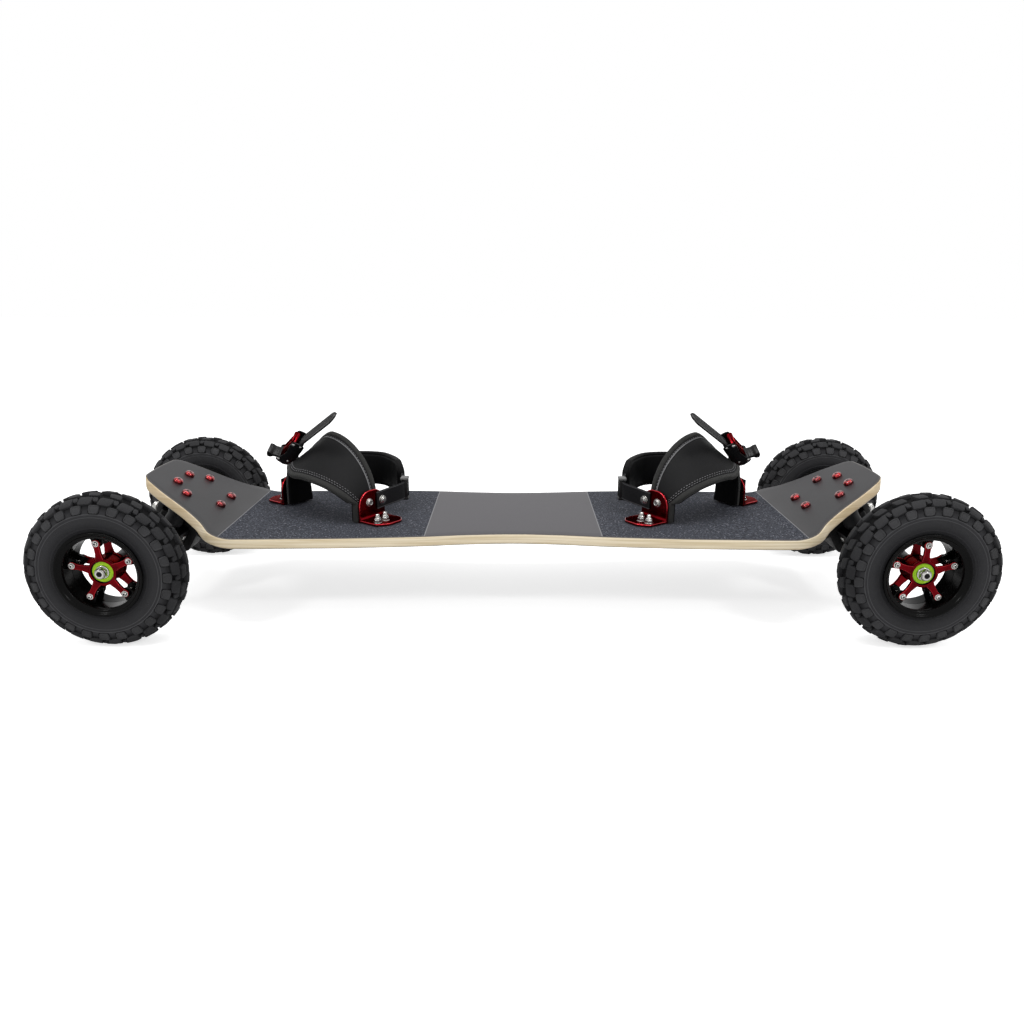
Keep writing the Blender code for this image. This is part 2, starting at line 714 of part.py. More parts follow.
def make_rim(name, half, phase, parent):
    """One half of the split rim: a barrel, an outer lip and an ear for each arm of the star."""
    inner = RIM_RADIUS - RIM_WALL
    lip_w = RIM_HALF_WIDTH
    face = flange_inner_face()
    sign = 1.0 if half == "outer" else -1.0
    profile = [
        (GAP / 2, inner),
        (face - 0.002, inner),
        (lip_w, inner + 0.0050),
        (lip_w - 0.0012, RIM_LIP_RADIUS),
        (face, RIM_LIP_RADIUS - 0.0012),
        (face, RIM_RADIUS),
        (GAP / 2, RIM_RADIUS),
    ]
    solids = [turned([(w * sign, r) for w, r in profile], RIM_SEGMENTS, start=math.pi / RIM_SEGMENTS)]
    low, high = EAR_OUTER_FACE - EAR_THICKNESS, EAR_OUTER_FACE
    for k in range(STAR_ARMS):
        turn = Matrix.Rotation(math.radians(phase) + math.tau * k / STAR_ARMS, 4, "Z")
        ear = arc((BOLT_CIRCLE_RADIUS, 0.0), EAR_HALF_WIDTH, 90, 270, 3)
        ear += [(inner + 0.0012, -EAR_HALF_WIDTH - 0.002), (inner + 0.0012, EAR_HALF_WIDTH + 0.002)]
        solids.append(prism(ear, low * sign, high * sign, turn))
    return piece(f"{name}_rim_{half}", "black_metal", solids, (), parent)


def make_hub(name, phase, parent):
    """The red spool: bearing seats inside, a five-armed star at each face, a screw at each arm's end."""
    inner_face = EAR_OUTER_FACE + GAP
    face = inner_face + STAR_THICKNESS
    seat = BEARING_RADIUS + GAP
    shelf = BEARING_FACE - BEARING_WIDTH - GAP
    bore = AXLE_RADIUS + 0.0015
    half = [(face, SPOOL_RADIUS), (face, seat), (shelf, seat), (shelf, bore)]
    profile = half + [(-w, r) for w, r in reversed(half)]
    solids = [turned(profile, SPOOL_SEGMENTS)]
    for k in range(STAR_ARMS):
        turn = Matrix.Rotation(math.radians(phase) + math.tau * k / STAR_ARMS, 4, "Z")
        arm = arc((BOLT_CIRCLE_RADIUS, 0.0), ARM_END_RADIUS, -90, 90, 3)
        neck, root = BOLT_CIRCLE_RADIUS - 0.006, SPOOL_RADIUS - 0.0015
        wide = ARM_HALF_WIDTH + 0.0012
        arm += [(neck, ARM_HALF_WIDTH), (root, wide), (root, -wide), (neck, -ARM_HALF_WIDTH)]
        for sign in (1.0, -1.0):
            solids.append(prism(arm, inner_face * sign, face * sign, turn))
        spot = turn @ Matrix.Translation((BOLT_CIRCLE_RADIUS, 0.0, 0.0))
        solids.append(rod(face - 0.001, face + RIM_SCREW_HEAD, RIM_SCREW_RADIUS, 6, spot))
    return piece(f"{name}_hub", "red_anodised", solids, (), parent)


def make_bearing(name, where, parent):
    outer_face = BEARING_FACE if where == "outer" else -BEARING_FACE + BEARING_WIDTH
    low, high = outer_face - BEARING_WIDTH, outer_face
    profile = [(low, AXLE_RADIUS), (low, BEARING_RADIUS), (high, BEARING_RADIUS), (high, AXLE_RADIUS)]
    ring = turned(profile, BEARING_SEGMENTS)
    return piece(f"{name}_bearing_{where}", "lime_seal", [ring], (), parent)


def make_axle_nut(name, parent):
    low = BEARING_FACE + GAP
    high = low + AXLE_NUT_HEIGHT
    bore = rod(low - 0.002, high + 0.002, AXLE_RADIUS - RUNNING_GAP + GAP, 12)
    return piece(f"{name}_axle_nut", "steel", [hexagon(low, high, AXLE_NUT_FLATS)], [bore], parent)


def make_wheel(side, where, lean):
    name = f"wheel_{side}_{where}"
    phase = STAR_PHASE[(side, where)]
    seat = empty(f"{name}_seat", truck_place(side).inverted() @ wheel_place(side, where), lean)
    anchor = empty(f"{name}_pivot", Matrix.Identity(4), seat)
    make_tyre(name, anchor)
    for half in ("outer", "inner"):
        make_rim(name, half, phase, anchor)
        make_bearing(name, half, anchor)
    make_hub(name, phase, anchor)
    make_axle_nut(name, seat)


# Bindings


class Binding:
    """One binding's frame and hand. Shapes are drawn for the left one and mirrored in x for the right."""

    def __init__(self, side, board):
        self.side = side
        self.hand = 1.0 if side == "left" else -1.0
        turn = -STANCE_ANGLE if side == "left" else STANCE_ANGLE
        self.ground = deck_top(BINDING_X)
        x = -BINDING_X if side == "left" else BINDING_X
        self.place = Matrix.Translation((x, BINDING_Y, self.ground)) @ Matrix.Rotation(turn, 4, "Z")
        self.anchor = empty(f"binding_{side}_place", self.place, board)
        self.flip = Matrix.Scale(self.hand, 4, (1, 0, 0))

    def deck_under(self, x, y):
        """Height of the deck in the binding's frame, below a point of it."""
        return deck_top((self.place @ Vector((x * self.hand, y, 0.0))).x) - self.ground

    def put(self, name, material, solids, cutters=(), parent=None, **options):
        """Names a sub-part of this binding, mirrored where the binding is a right one."""
        for helper in [*solids, *cutters]:
            helper.data.transform(self.flip)
            if self.hand < 0:
                helper.data.flip_normals()
        full_name = f"binding_{self.side}_{name}"
        return piece(full_name, material, solids, cutters, parent or self.anchor, **options)


def plate_outline(where):
    """The foot plate in plan, from under the flange to its chamfered outer edge."""
    start = FLANGE_INNER_X[where]
    end = start + PLATE_REACH
    low, high = FLANGE_YS[where]
    cut = FOOT_PLATE_CHAMFER
    outline = [(start, low), (end - cut, low), (end, low + 1.4 * cut)]
    outline += [(end, high - cut), (end - cut, high), (start, high)]
    return outline if where == "near" else [(-x, y) for x, y in outline]


def plate_base(binding, where):
    """The foot plate rests on the highest deck point below it."""
    return max(binding.deck_under(x, y) for x, y in plate_outline(where)) + GAP


def foot_bolt_spots(where):
    x = FLANGE_INNER_X[where] + FLANGE_THICKNESS + FOOT_BOLT_REACH[where]
    x = x if where == "near" else -x
    return [(x, y) for y in FOOT_BOLT_YS[where]]


def foot_bolt_holes(binding):
    holes = []
    for where in ("near", "far"):
        for x, y in foot_bolt_spots(where):
            spot = binding.place @ Matrix.Translation((x * binding.hand, y, 0.0))
            low = -DECK_THICKNESS - 0.006
            holes.append(rod(low, 0.006, FOOT_BOLT_RADIUS + GAP, 6, spot))
    return holes


def make_bracket(binding, where):
    """A red angle bracket: foot plate, upright flange, the foot bolts and the bolts that hold the straps."""
    sign = 1.0 if where == "near" else -1.0
    base = plate_base(binding, where)
    solids = [prism(plate_outline(where), base, base + FOOT_PLATE_THICKNESS)]
    low, high = FLANGE_YS[where]
    r, top = FLANGE_CORNER_RADIUS, FLANGE_HEIGHT
    flange = [(low, base), (high, base)]
    flange += arc((high - r, top - r), r, 0, 90, 5) + arc((low + r, top - r), r, 90, 180, 5)
    inner = FLANGE_INNER_X[where]
    outer = inner + FLANGE_THICKNESS
    solids.append(prism(flange, inner * sign, outer * sign, ALONG_X))
    for x, y in foot_bolt_spots(where):
        around = [(x + dx, y + dy) for dx in (-0.007, 0.007) for dy in (-0.007, 0.007)]
        under = min(binding.deck_under(*spot) for spot in around)
        seat = under - DECK_THICKNESS - GAP
        plate_top = base + FOOT_PLATE_THICKNESS
        nut_top = plate_top + FOOT_NUT_HEIGHT
        head, shank = FOOT_BOLT_HEAD_RADIUS, FOOT_BOLT_RADIUS
        profile = (
            (seat - FOOT_BOLT_HEAD_HEIGHT, 0.6 * head),
            (seat, head),
            (seat, shank),
            (plate_top - 0.001, shank),
            (plate_top - 0.001, FOOT_NUT_RADIUS),
            (nut_top, FOOT_NUT_RADIUS),
            (nut_top, shank),
            (nut_top + FOOT_BOLT_PAST_NUT, shank),
        )
        spot = Matrix.Translation((x, y, 0.0))
        solids.append(turned(profile, 6, spot, closed=False))
    past_strap = outer + GAP + WEBBING_THICKNESS + GAP
    bolts = [(STRAP_BOLT_Y[where], past_strap)]
    if where == "near":
        bolts.append((PAD_BOLT_Y, outer))
    for y, seat in bolts:
        profile = [
            (inner + 0.001, STRAP_BOLT_RADIUS),
            (seat, STRAP_BOLT_RADIUS),
            (seat, STRAP_BOLT_HEAD_RADIUS),
            (seat + STRAP_BOLT_HEAD_HEIGHT, 0.8 * STRAP_BOLT_HEAD_RADIUS),
        ]
        if seat == outer:
            profile[1:2] = []
            profile[0] = (inner + 0.001, STRAP_BOLT_HEAD_RADIUS)
        spot = moved(ALONG_X, (0.0, y, STRAP_BOLT_HEIGHT))
        solids.append(turned([(w * sign, radius) for w, radius in profile], 6, spot, closed=False))
    return binding.put(f"bracket_{where}", "red_anodised", solids)


def pad_point(share, across):
    """A point on the pad's outside. share runs from the near foot (0) over the arch to the far foot (1).

    across runs from the heel rim (0) to the toe rim (1).
    """
    leg = 0.12
    if share < leg:
        angle, sunk = 0.0, (1.0 - share / leg) * (PAD_SPRING_HEIGHT - PAD_FOOT_HEIGHT)
    elif share > 1.0 - leg:
        angle, sunk = math.pi, (1.0 - (1.0 - share) / leg) * (PAD_SPRING_HEIGHT - PAD_FOOT_HEIGHT)
    else:
        angle, sunk = math.pi * (share - leg) / (1.0 - 2.0 * leg), 0.0
    if angle < math.pi / 2:
        x, lift = PAD_NEAR_X * math.cos(angle) ** PAD_NEAR_FLATNESS, math.sin(angle) ** PAD_NEAR_FLATNESS
        full = 1.0
        toe_y = PAD_TOE_FOOT_YS[0] - PAD_TOE_REACH * lift**PAD_TOE_ROUNDNESS
    else:
        out = max(-math.cos(angle), 0.0) ** PAD_FAR_FLATNESS
        x, lift = -PAD_FAR_X * out, max(math.sin(angle), 0.0) ** PAD_FAR_FLATNESS
        full = math.exp(-((out / PAD_FAR_TAPER) ** 3))
        apex = PAD_TOE_FOOT_YS[0] - PAD_TOE_REACH
        toe_y = PAD_TOE_FOOT_YS[1] + (apex - PAD_TOE_FOOT_YS[1]) * full
    base = PAD_SPRING_HEIGHT - sunk
    heel_y = PAD_HEEL_YS[0] + (PAD_HEEL_YS[1] - PAD_HEEL_YS[0]) * share**2
    toe_rise = PAD_HEEL_RISE + (PAD_TOE_RISE - PAD_HEEL_RISE) * full
    heel = Vector((x, heel_y, base + PAD_HEEL_RISE * lift))
    toe = Vector((x, toe_y, base + toe_rise * lift))
    return heel.lerp(toe, across)


def pad_normal(share, across):
    step = 0.004
    along = pad_point(min(share + step, 1.0), across) - pad_point(max(share - step, 0.0), across)
    over = pad_point(share, min(across + step, 1.0)) - pad_point(share, max(across - step, 0.0))
    return along.cross(over).normalized()


def make_pad(binding):
    """The padded strap over the foot, with a raised band along each rim and a soft crown between them."""
    band = PAD_RIM_SHARE
    section = [
        (0.00, 0.40),
        (0.02, 1.0 + PAD_RIM_RISE / PAD_THICKNESS),
        (band, 1.0 + PAD_RIM_RISE / PAD_THICKNESS),
        (band + 0.02, 1.0),
        (0.50, 1.0 + PAD_CROWN / PAD_THICKNESS),
        (0.98 - band, 1.0),
        (1.0 - band, 1.0 + PAD_RIM_RISE / PAD_THICKNESS),
        (0.98, 1.0 + PAD_RIM_RISE / PAD_THICKNESS),
        (1.00, 0.40),
        (0.97, 0.0),
        (0.50, 0.0),
        (0.03, 0.0),
    ]
    rings = []
    for k in range(PAD_STATIONS + 1):
        share = k / PAD_STATIONS
        ring = []
        for across, height in section:
            depth = (height - 1.0) * PAD_THICKNESS - PAD_RIM_RISE
            ring.append(pad_point(share, across) + depth * pad_normal(share, across))
        rings.append(ring)
    return binding.put("foot_pad", "padding", [loft(rings)], smooth_angle=50.0)


def ratchet_directions():
    """Along the ladder strap to its free end, out from the foot, and across from toe to heel."""
    c, s = math.cos(RATCHET_SLOPE), math.sin(RATCHET_SLOPE)
    out, across = Vector((-s, 0.0, c)), Vector((0.0, 1.0, 0.0))
    tilt_c, tilt_s = math.cos(RATCHET_TILT), math.sin(RATCHET_TILT)
    return Vector((c, 0.0, s)), out * tilt_c - across * tilt_s, across * tilt_c + out * tilt_s


def ratchet_axes():
    """The ratchet's frame, leaning with the pad towards the toes."""
    return axes((RATCHET_X, RATCHET_Y, RATCHET_HEIGHT), *ratchet_directions())


def ladder_path():
    """Points of the strap's middle line, each with its width direction.

    It runs up inside the far flange, twists above it to lean with the ratchet, bends and runs on to its free end.
    """
    along, _, across = ratchet_directions()
    origin = Vector((RATCHET_X, RATCHET_Y, RATCHET_HEIGHT))
    foot_x = -(FLANGE_INNER_X["far"] - GAP - LADDER_THICKNESS / 2)
    upright = Vector((0.0, 1.0, 0.0))
    up = Vector((0.0, 0.0, 1.0))
    rise = (up - across * up.dot(across)).normalized()
    lean = rise.x / rise.z
    reach = foot_x - RATCHET_X + lean * (RATCHET_HEIGHT - LADDER_TWIST_END)
    corner = origin + along * (reach / (along.x - lean * along.z))
    turn = rise.angle(along)
    tangent = LADDER_BEND_RADIUS * math.tan(turn / 2)
    start = corner - rise * ((corner.z - LADDER_TWIST_END) / rise.z)
    heights = (LADDER_FOOT_HEIGHT, LADDER_TWIST_START)
    points = [(Vector((foot_x, start.y, height)), upright) for height in heights]
    points.append((start, across))
    sideways = (along - rise * along.dot(rise)).normalized()
    first = corner - rise * tangent
    for k in range(5):
        angle = turn * k / 4
        step = rise * math.sin(angle) + sideways * (1 - math.cos(angle))
        points.append((first + step * LADDER_BEND_RADIUS, across))
    end = LADDER_FREE_LENGTH
    points += [(origin + along * d, across) for d in (0.03, end - LADDER_TAPER_LENGTH, end - 0.006, end)]
    return points


def make_ladder_strap(binding):
    path = ladder_path()
    widths = [LADDER_HALF_WIDTH] * (len(path) - 2) + [0.62 * LADDER_HALF_WIDTH, 0.25 * LADDER_HALF_WIDTH]
    rings = []
    for k, ((point, across), wide) in enumerate(zip(path, widths)):
        before, after = path[max(k - 1, 0)][0], path[min(k + 1, len(path) - 1)][0]
        if k < 2:
            before, after = path[0][0], path[1][0]
        normal = across.cross(after - before).normalized() * (LADDER_THICKNESS / 2)
        corners = ((1, -wide), (1, wide), (-1, wide), (-1, -wide))
        rings.append([point + normal * side + across * reach for side, reach in corners])
    return binding.put("ladder_strap", "black_plastic", [loft(rings)])


def make_ratchet(binding):
    """The ratchet's channel: a floor under the ladder strap, two cheeks and the two pins."""
    place = ratchet_axes()
    half = LADDER_HALF_WIDTH + GAP
    floor_top = -LADDER_THICKNESS / 2 - GAP
    floor_low = floor_top - RATCHET_FLOOR
    start, end = RATCHET_FLOOR_DS
    outside = half + RATCHET_WALL
    floor = [(start, floor_low), (end, floor_low), (end, floor_top), (start, floor_top)]
    reach = half + RATCHET_WALL / 2
    solids = [prism(floor, -reach, reach, place)]
    solids.append(prism(RATCHET_CHEEK, half, outside, place))
    solids.append(prism(RATCHET_CHEEK, -outside, -half, place))
    for d, m in (LEVER_PIVOT, RELEASE_PIVOT):
        spot = place @ Matrix.Translation((d, m, 0.0))
        reach = outside + PIN_HEAD_HEIGHT
        profile = [(-reach, 0.6 * PIN_HEAD_RADIUS), (-outside + 0.0004, PIN_HEAD_RADIUS)]
        profile += [(-half - 0.0002, PIN_RADIUS), (half + 0.0002, PIN_RADIUS)]
        profile += [(outside - 0.0004, PIN_HEAD_RADIUS), (reach, 0.6 * PIN_HEAD_RADIUS)]
        solids.append(turned(profile, 8, spot, closed=False))
    return binding.put("ratchet_body", "black_plastic", solids)


def pivot_frame(binding, name, pivot):
    """An anchor on a lever's pin, in the binding's frame."""
    spot = ratchet_axes() @ Vector((pivot[0], pivot[1], 0.0))
    pin = Matrix.Translation((spot.x * binding.hand, spot.y, spot.z))
    return empty(f"binding_{binding.side}_{name}_pivot", pin, binding.anchor)


def lever_place():
    """The ratchet's directions, with the origin left at the pin."""
    return ratchet_axes().to_3x3().to_4x4()


def make_lever(binding):
    """The red ratchet lever: a plate with a barrel on the pin and a lip past it."""
    anchor = pivot_frame(binding, "ratchet_lever", LEVER_PIVOT)
    place = lever_place()
    half = LEVER_HALF_WIDTH
    r = LEVER_BARREL_RADIUS
    barrel = [(r * math.cos(a), r * math.sin(a)) for a in angles_of(12)]
    plate = [
        (0.0, -0.6 * r),
        (-0.012, -0.0032),
        (-LEVER_REACH + 0.003, -0.0036),
        (-LEVER_REACH, -0.0012),
        (-LEVER_REACH + 0.002, LEVER_THICKNESS - 0.0022),
        (-0.012, LEVER_THICKNESS + 0.0002),
        (-0.002, r),
        (0.002, r + 0.8 * LEVER_LIP),
        (0.0042, r + 0.7 * LEVER_LIP),
        (0.0034, 0.6 * r),
    ]
    solids = [prism(barrel, -half, half, place), prism(plate, -half + 0.0006, half - 0.0006, place)]
    bores = [rod(-half - 0.002, half + 0.002, PIN_RADIUS + RUNNING_GAP, 8, place)]
    return binding.put("ratchet_lever", "red_anodised", solids, bores, anchor)


def make_release(binding):
    """The black release tab: a barrel on its pin and a flared end to press."""
    anchor = pivot_frame(binding, "release_lever", RELEASE_PIVOT)
    place = lever_place()
    half = LEVER_HALF_WIDTH
    r = RELEASE_BARREL_RADIUS
    barrel = [(r * math.cos(a), r * math.sin(a)) for a in angles_of(12)]
    end = Vector((RELEASE_END[0] - RELEASE_PIVOT[0], RELEASE_END[1] - RELEASE_PIVOT[1]))
    along = end.normalized()
    square = Vector((-along.y, along.x))
    thick = RELEASE_END_HALF_THICKNESS
    tab = []
    for share, offset in ((0.0, 0.7 * r), (0.5, 0.0021), (0.75, thick), (1.0, thick), (1.06, 0.0)):
        tab.append(end * share + square * offset)
    for share, offset in ((1.0, -thick), (0.75, -thick), (0.5, -0.0021), (0.0, -0.7 * r)):
        tab.append(end * share + square * offset)
    outline = [(point.x, point.y) for point in tab]
    solids = [prism(barrel, -half, half, place), prism(outline, -half + 0.0006, half - 0.0006, place)]
    bores = [rod(-half - 0.002, half + 0.002, PIN_RADIUS + RUNNING_GAP, 8, place)]
    return binding.put("release_lever", "black_plastic", solids, bores, anchor)


def heel_stations():
    """(x, y, height of the middle, half height, half thickness) from the near bracket round to the far one."""
    outside = FLANGE_THICKNESS + GAP + WEBBING_THICKNESS / 2
    side, far_side = FLANGE_INNER_X["near"] + outside, FLANGE_INNER_X["far"] + outside
    web, thin = WEBBING_HALF_WIDTH, WEBBING_THICKNESS / 2
    pad, thick = HEEL_PAD_HALF_HEIGHT, HEEL_PAD_THICKNESS / 2
    low, middle = STRAP_BOLT_HEIGHT, HEEL_PAD_MIDDLE_HEIGHT
    corner, far_corner, turn = HEEL_CORNER_Y["near"], HEEL_CORNER_Y["far"], side + ADJUSTER_OUT
    return [
        (side, STRAP_BOLT_Y["near"] - 0.009, low, web - 0.003, thin),
        (side, STRAP_BOLT_Y["near"] - 0.006, low, web, thin),
        (side, STRAP_BOLT_Y["near"] + 0.010, low + 0.001, web, thin),
        (turn, corner - 0.008, ADJUSTER_HEIGHT - 0.002, web, thin),
        (turn - 0.001, corner - 0.005, ADJUSTER_HEIGHT, ADJUSTER_HALF_HEIGHT, ADJUSTER_HALF_THICKNESS),
        (turn - 0.009, corner + 0.007, ADJUSTER_HEIGHT, ADJUSTER_HALF_HEIGHT, ADJUSTER_HALF_THICKNESS),
        (turn - 0.011, corner + 0.009, ADJUSTER_HEIGHT + 0.002, web, thin),
        (turn - 0.030, corner + 0.022, middle - 0.002, web, thin + 0.0005),
        (turn - 0.036, corner + 0.026, middle - 0.003, pad - 0.006, thick),
        (0.050, HEEL_APEX_Y - 0.0205, middle, pad - 0.001, thick),
        (0.031, HEEL_APEX_Y - 0.010, middle, pad, thick),
        (0.000, HEEL_APEX_Y, middle, pad, thick),
        (-0.027, HEEL_APEX_Y - 0.008, middle, pad, thick),
        (-0.048, HEEL_APEX_Y - 0.027, middle, pad, thick),
        (-0.063, far_corner + 0.012, middle, pad - 0.002, thick),
        (-0.070, far_corner, middle - 0.003, web, thin + 0.0005),
        (-far_side, FLANGE_YS["far"][1] + 0.004, low + 0.010, web, thin),
        (-far_side, STRAP_BOLT_Y["far"] - 0.006, low, web, thin),
        (-far_side, STRAP_BOLT_Y["far"] - 0.009, low, web - 0.003, thin),
    ]


def make_heel_strap(binding):
    """Webbing from both brackets, with its adjuster and the heel pad, as one band."""
    stations = heel_stations()
    rings = []
    for k, (x, y, height, half, thin) in enumerate(stations):
        before, after = stations[max(k - 1, 0)], stations[min(k + 1, len(stations) - 1)]
        along = Vector((after[0] - before[0], after[1] - before[1])).normalized()
        if k in (0, 1, len(stations) - 2, len(stations) - 1):
            along = Vector((0.0, 1.0 if k < 2 else -1.0))
        out = Vector((along.y, -along.x))
        ease = min(0.004, 0.5 * thin + 0.0004)
        section = [(thin, half - ease), (thin - ease, half), (-thin + ease, half), (-thin, half - ease)]
        section += [(-depth, -rise) for depth, rise in section]
        rings.append([(x + out.x * depth, y + out.y * depth, height + rise) for depth, rise in section])
    holes = []
    for where, sign in (("near", 1.0), ("far", -1.0)):
        spot = moved(ALONG_X, (0.0, STRAP_BOLT_Y[where], STRAP_BOLT_HEIGHT))
        low = FLANGE_INNER_X[where] + FLANGE_THICKNESS - 0.002
        holes.append(rod(low * sign, (low + 0.010) * sign, STRAP_BOLT_RADIUS + GAP, 6, spot))
    return binding.put("heel_strap", "webbing", [loft(rings)], holes, smooth_angle=45.0)


def make_binding(binding):
    for where in ("near", "far"):
        make_bracket(binding, where)
    make_pad(binding)
    make_ladder_strap(binding)
    make_ratchet(binding)
    make_lever(binding)
    make_release(binding)
    make_heel_strap(binding)


# Assembly

for old in list(bpy.data.objects):
    bpy.data.objects.remove(old)
bpy.context.scene.unit_settings.system = "METRIC"
MATERIALS = {name: make_material(name) for name in PAINT}

board = empty("board", Matrix.Identity(4))
bindings = [Binding(side, board) for side in ("left", "right")]
bolt_holes = [hole for side in ("left", "right") for hole in deck_bolt_holes(side)]
for binding in bindings:
    bolt_holes += foot_bolt_holes(binding)
make_deck(board, bolt_holes)
for side in ("left", "right"):
    truck = empty(f"truck_{side}_place", truck_place(side), board)
    make_base_plate(side, truck)
    make_truck_frame(side, truck)
    make_kingpin(side, truck)
    lean = empty(f"truck_{side}_lean", Matrix.Identity(4), truck)
    make_hanger(side, lean)
    make_axle(side, lean)
    for where in ("near", "far"):
        make_damper(side, where, truck)
        make_wheel(side, where, lean)
for binding in bindings:
    make_binding(binding)
bpy.context.view_layer.update()
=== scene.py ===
"""Looks of a mountainboard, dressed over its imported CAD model.

Metres, +Z up, +X along the board, ground at z = 0. Left is -X, right is +X, near is -Y and far is +Y.
Each shape is made of whole arrays: an outline given a height, a turned profile, or a section along a path.
"""

import math

import bmesh
import bpy
import numpy as np
from mathutils import Matrix


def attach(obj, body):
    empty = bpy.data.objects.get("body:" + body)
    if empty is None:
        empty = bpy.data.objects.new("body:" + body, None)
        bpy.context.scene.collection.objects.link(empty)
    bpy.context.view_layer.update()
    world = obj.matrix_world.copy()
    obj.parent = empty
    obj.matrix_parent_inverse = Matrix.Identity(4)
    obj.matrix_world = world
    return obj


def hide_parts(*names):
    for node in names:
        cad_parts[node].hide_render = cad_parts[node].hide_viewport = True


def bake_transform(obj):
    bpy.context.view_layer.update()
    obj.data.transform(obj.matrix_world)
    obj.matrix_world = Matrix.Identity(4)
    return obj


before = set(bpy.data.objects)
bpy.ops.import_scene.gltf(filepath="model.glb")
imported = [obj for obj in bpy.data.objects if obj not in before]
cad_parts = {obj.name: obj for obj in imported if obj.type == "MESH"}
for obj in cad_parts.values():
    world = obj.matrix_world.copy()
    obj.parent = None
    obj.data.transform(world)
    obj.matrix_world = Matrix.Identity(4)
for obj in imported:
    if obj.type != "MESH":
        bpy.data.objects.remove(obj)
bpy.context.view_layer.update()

# Sizes shared with the CAD model
HALF_BASE = 0.5107
HALF_TRACK = 0.180
TYRE_RADIUS = 0.100
DECK_TOP = 0.1247
DECK_THICKNESS = 0.0143
CAMBER = 0.0028
CAMBER_SPAN = 0.375
BEND_START = 0.372
BEND_END = 0.406
TIP_ANGLE = math.radians(30.1)
DECK_END_X = 0.5098
DECK_END_BOW = 0.0012
DECK_CORNER = 0.0130
UPRIGHT_LENGTH = 0.0200
HALF_WIDTHS = np.array([
    (0.000, 0.1105), (0.060, 0.1140), (0.120, 0.1215), (0.180, 0.1258), (0.250, 0.1285), (0.340, 0.1280),
    (0.385, 0.1262), (0.400, 0.1235), (0.420, 0.1045), (0.444, 0.0898), (0.478, 0.0755), (0.510, 0.0575),
])
STAR_PHASE = {("left", "near"): 23.0, ("right", "near"): 17.0, ("left", "far"): 50.0, ("right", "far"): 8.0}
BINDING_X = 0.2749
BINDING_Y = 0.0136
STANCE = math.radians(35.75)
RATCHET_SPOT = (-0.0518, -0.0112, 0.0894)
RATCHET_SLOPE = math.radians(31.5)
RATCHET_TILT = math.radians(42.0)
LADDER_FOOT_X = -0.0699
TWIST_START = 0.0455
TWIST_END = 0.0540
SIDES = ("left", "right")
ENDS = ("near", "far")
FIT = 0.0003
DECK_EDGE = 0.0026
GRIT_SPAN = (0.1182, 0.3900)
AXLE_DROP = 0.023
DAMPER_X = -0.0150
DAMPER_Y = 0.0435
STAR_ARMS = 5
SCREW_CIRCLE = 0.0375
EDGE_STEPS = 3


# Places: 4 x 4 arrays that take a point of a local frame to the board's frame


def axes(origin, x_axis, y_axis, z_axis):
    """The place whose columns are the three axes and the origin."""
    place = np.eye(4)
    place[:3, 0], place[:3, 1], place[:3, 2], place[:3, 3] = x_axis, y_axis, z_axis, origin
    return place


def lift(place, points):
    """Each point p becomes R p + origin."""
    return points @ place[:3, :3].T + place[:3, 3]


def at(x=0.0, y=0.0, z=0.0):
    return axes((x, y, z), (1, 0, 0), (0, 1, 0), (0, 0, 1))


def turn_z(angle):
    c, s = math.cos(angle), math.sin(angle)
    return axes((0, 0, 0), (c, s, 0), (-s, c, 0), (0, 0, 1))


ALONG_X = axes((0, 0, 0), (0, 1, 0), (0, 0, 1), (1, 0, 0))
ALONG_Y = axes((0, 0, 0), (1, 0, 0), (0, 0, 1), (0, 1, 0))


# Shapes


def unit(v):
    """The vector, or each of the vectors, at length 1."""
    return v / np.linalg.norm(v, axis=-1, keepdims=True)


def run_along(path):
    """The length of the path from its start to each of its points."""
    return np.concatenate([[0.0], np.cumsum(np.linalg.norm(np.diff(path, axis=0), axis=1))])


def oblong(x_low, y_low, x_high, y_high):
    """The corners of a rectangle, from its lower to its upper one."""
    return [(x_low, y_low), (x_high, y_low), (x_high, y_high), (x_low, y_high)]


def tube(z_low, r_low, z_high, r_high):
    """The (z, r) section of a plain ring."""
    return [(z_low, r_low), (z_low, r_high), (z_high, r_high), (z_high, r_low)]


def arc(x, y, radius, start, end, steps):
    """Points at radius from (x, y), from one angle in degrees to another."""
    a = np.radians(np.linspace(start, end, steps + 1))
    return np.stack([x + radius * np.cos(a), y + radius * np.sin(a)], 1)


def rounded(corners, radius, steps=4, closed=True):
    """Each corner becomes the quadratic curve (1-s)^2 a + 2s(1-s) p + s^2 b, with a and b on its two sides."""
    p = np.asarray(corners, float)
    before, after = np.roll(p, 1, 0) - p, np.roll(p, -1, 0) - p
    long_before, long_after = (np.linalg.norm(v, axis=1, keepdims=True) for v in (before, after))
    reach = np.minimum(np.reshape(radius, (-1, 1)), 0.48 * np.minimum(long_before, long_after))
    s = np.linspace(0.0, 1.0, steps + 1)[None, :, None]
    a, b = p + before / long_before * reach, p + after / long_after * reach
    curve = (1 - s) ** 2 * a[:, None] + 2 * s * (1 - s) * p[:, None] + s * s * b[:, None]
    if closed:
        return curve.reshape(-1, p.shape[1])
    return np.concatenate([p[:1], curve[1:-1].reshape(-1, p.shape[1]), p[-1:]])


def inward(outline):
    """At each corner the inward step m with m.n = 1 for the normals n of both its sides."""
    after = np.roll(outline, -1, 0)
    side = unit(after - outline)
    normal = np.stack([-side[:, 1], side[:, 0]], 1)
    if (outline[:, 0] * after[:, 1] - outline[:, 1] * after[:, 0]).sum() < 0:
        normal = -normal
    middle = normal + np.roll(normal, 1, 0)
    return middle / np.maximum((middle * normal).sum(1, keepdims=True), 0.4)


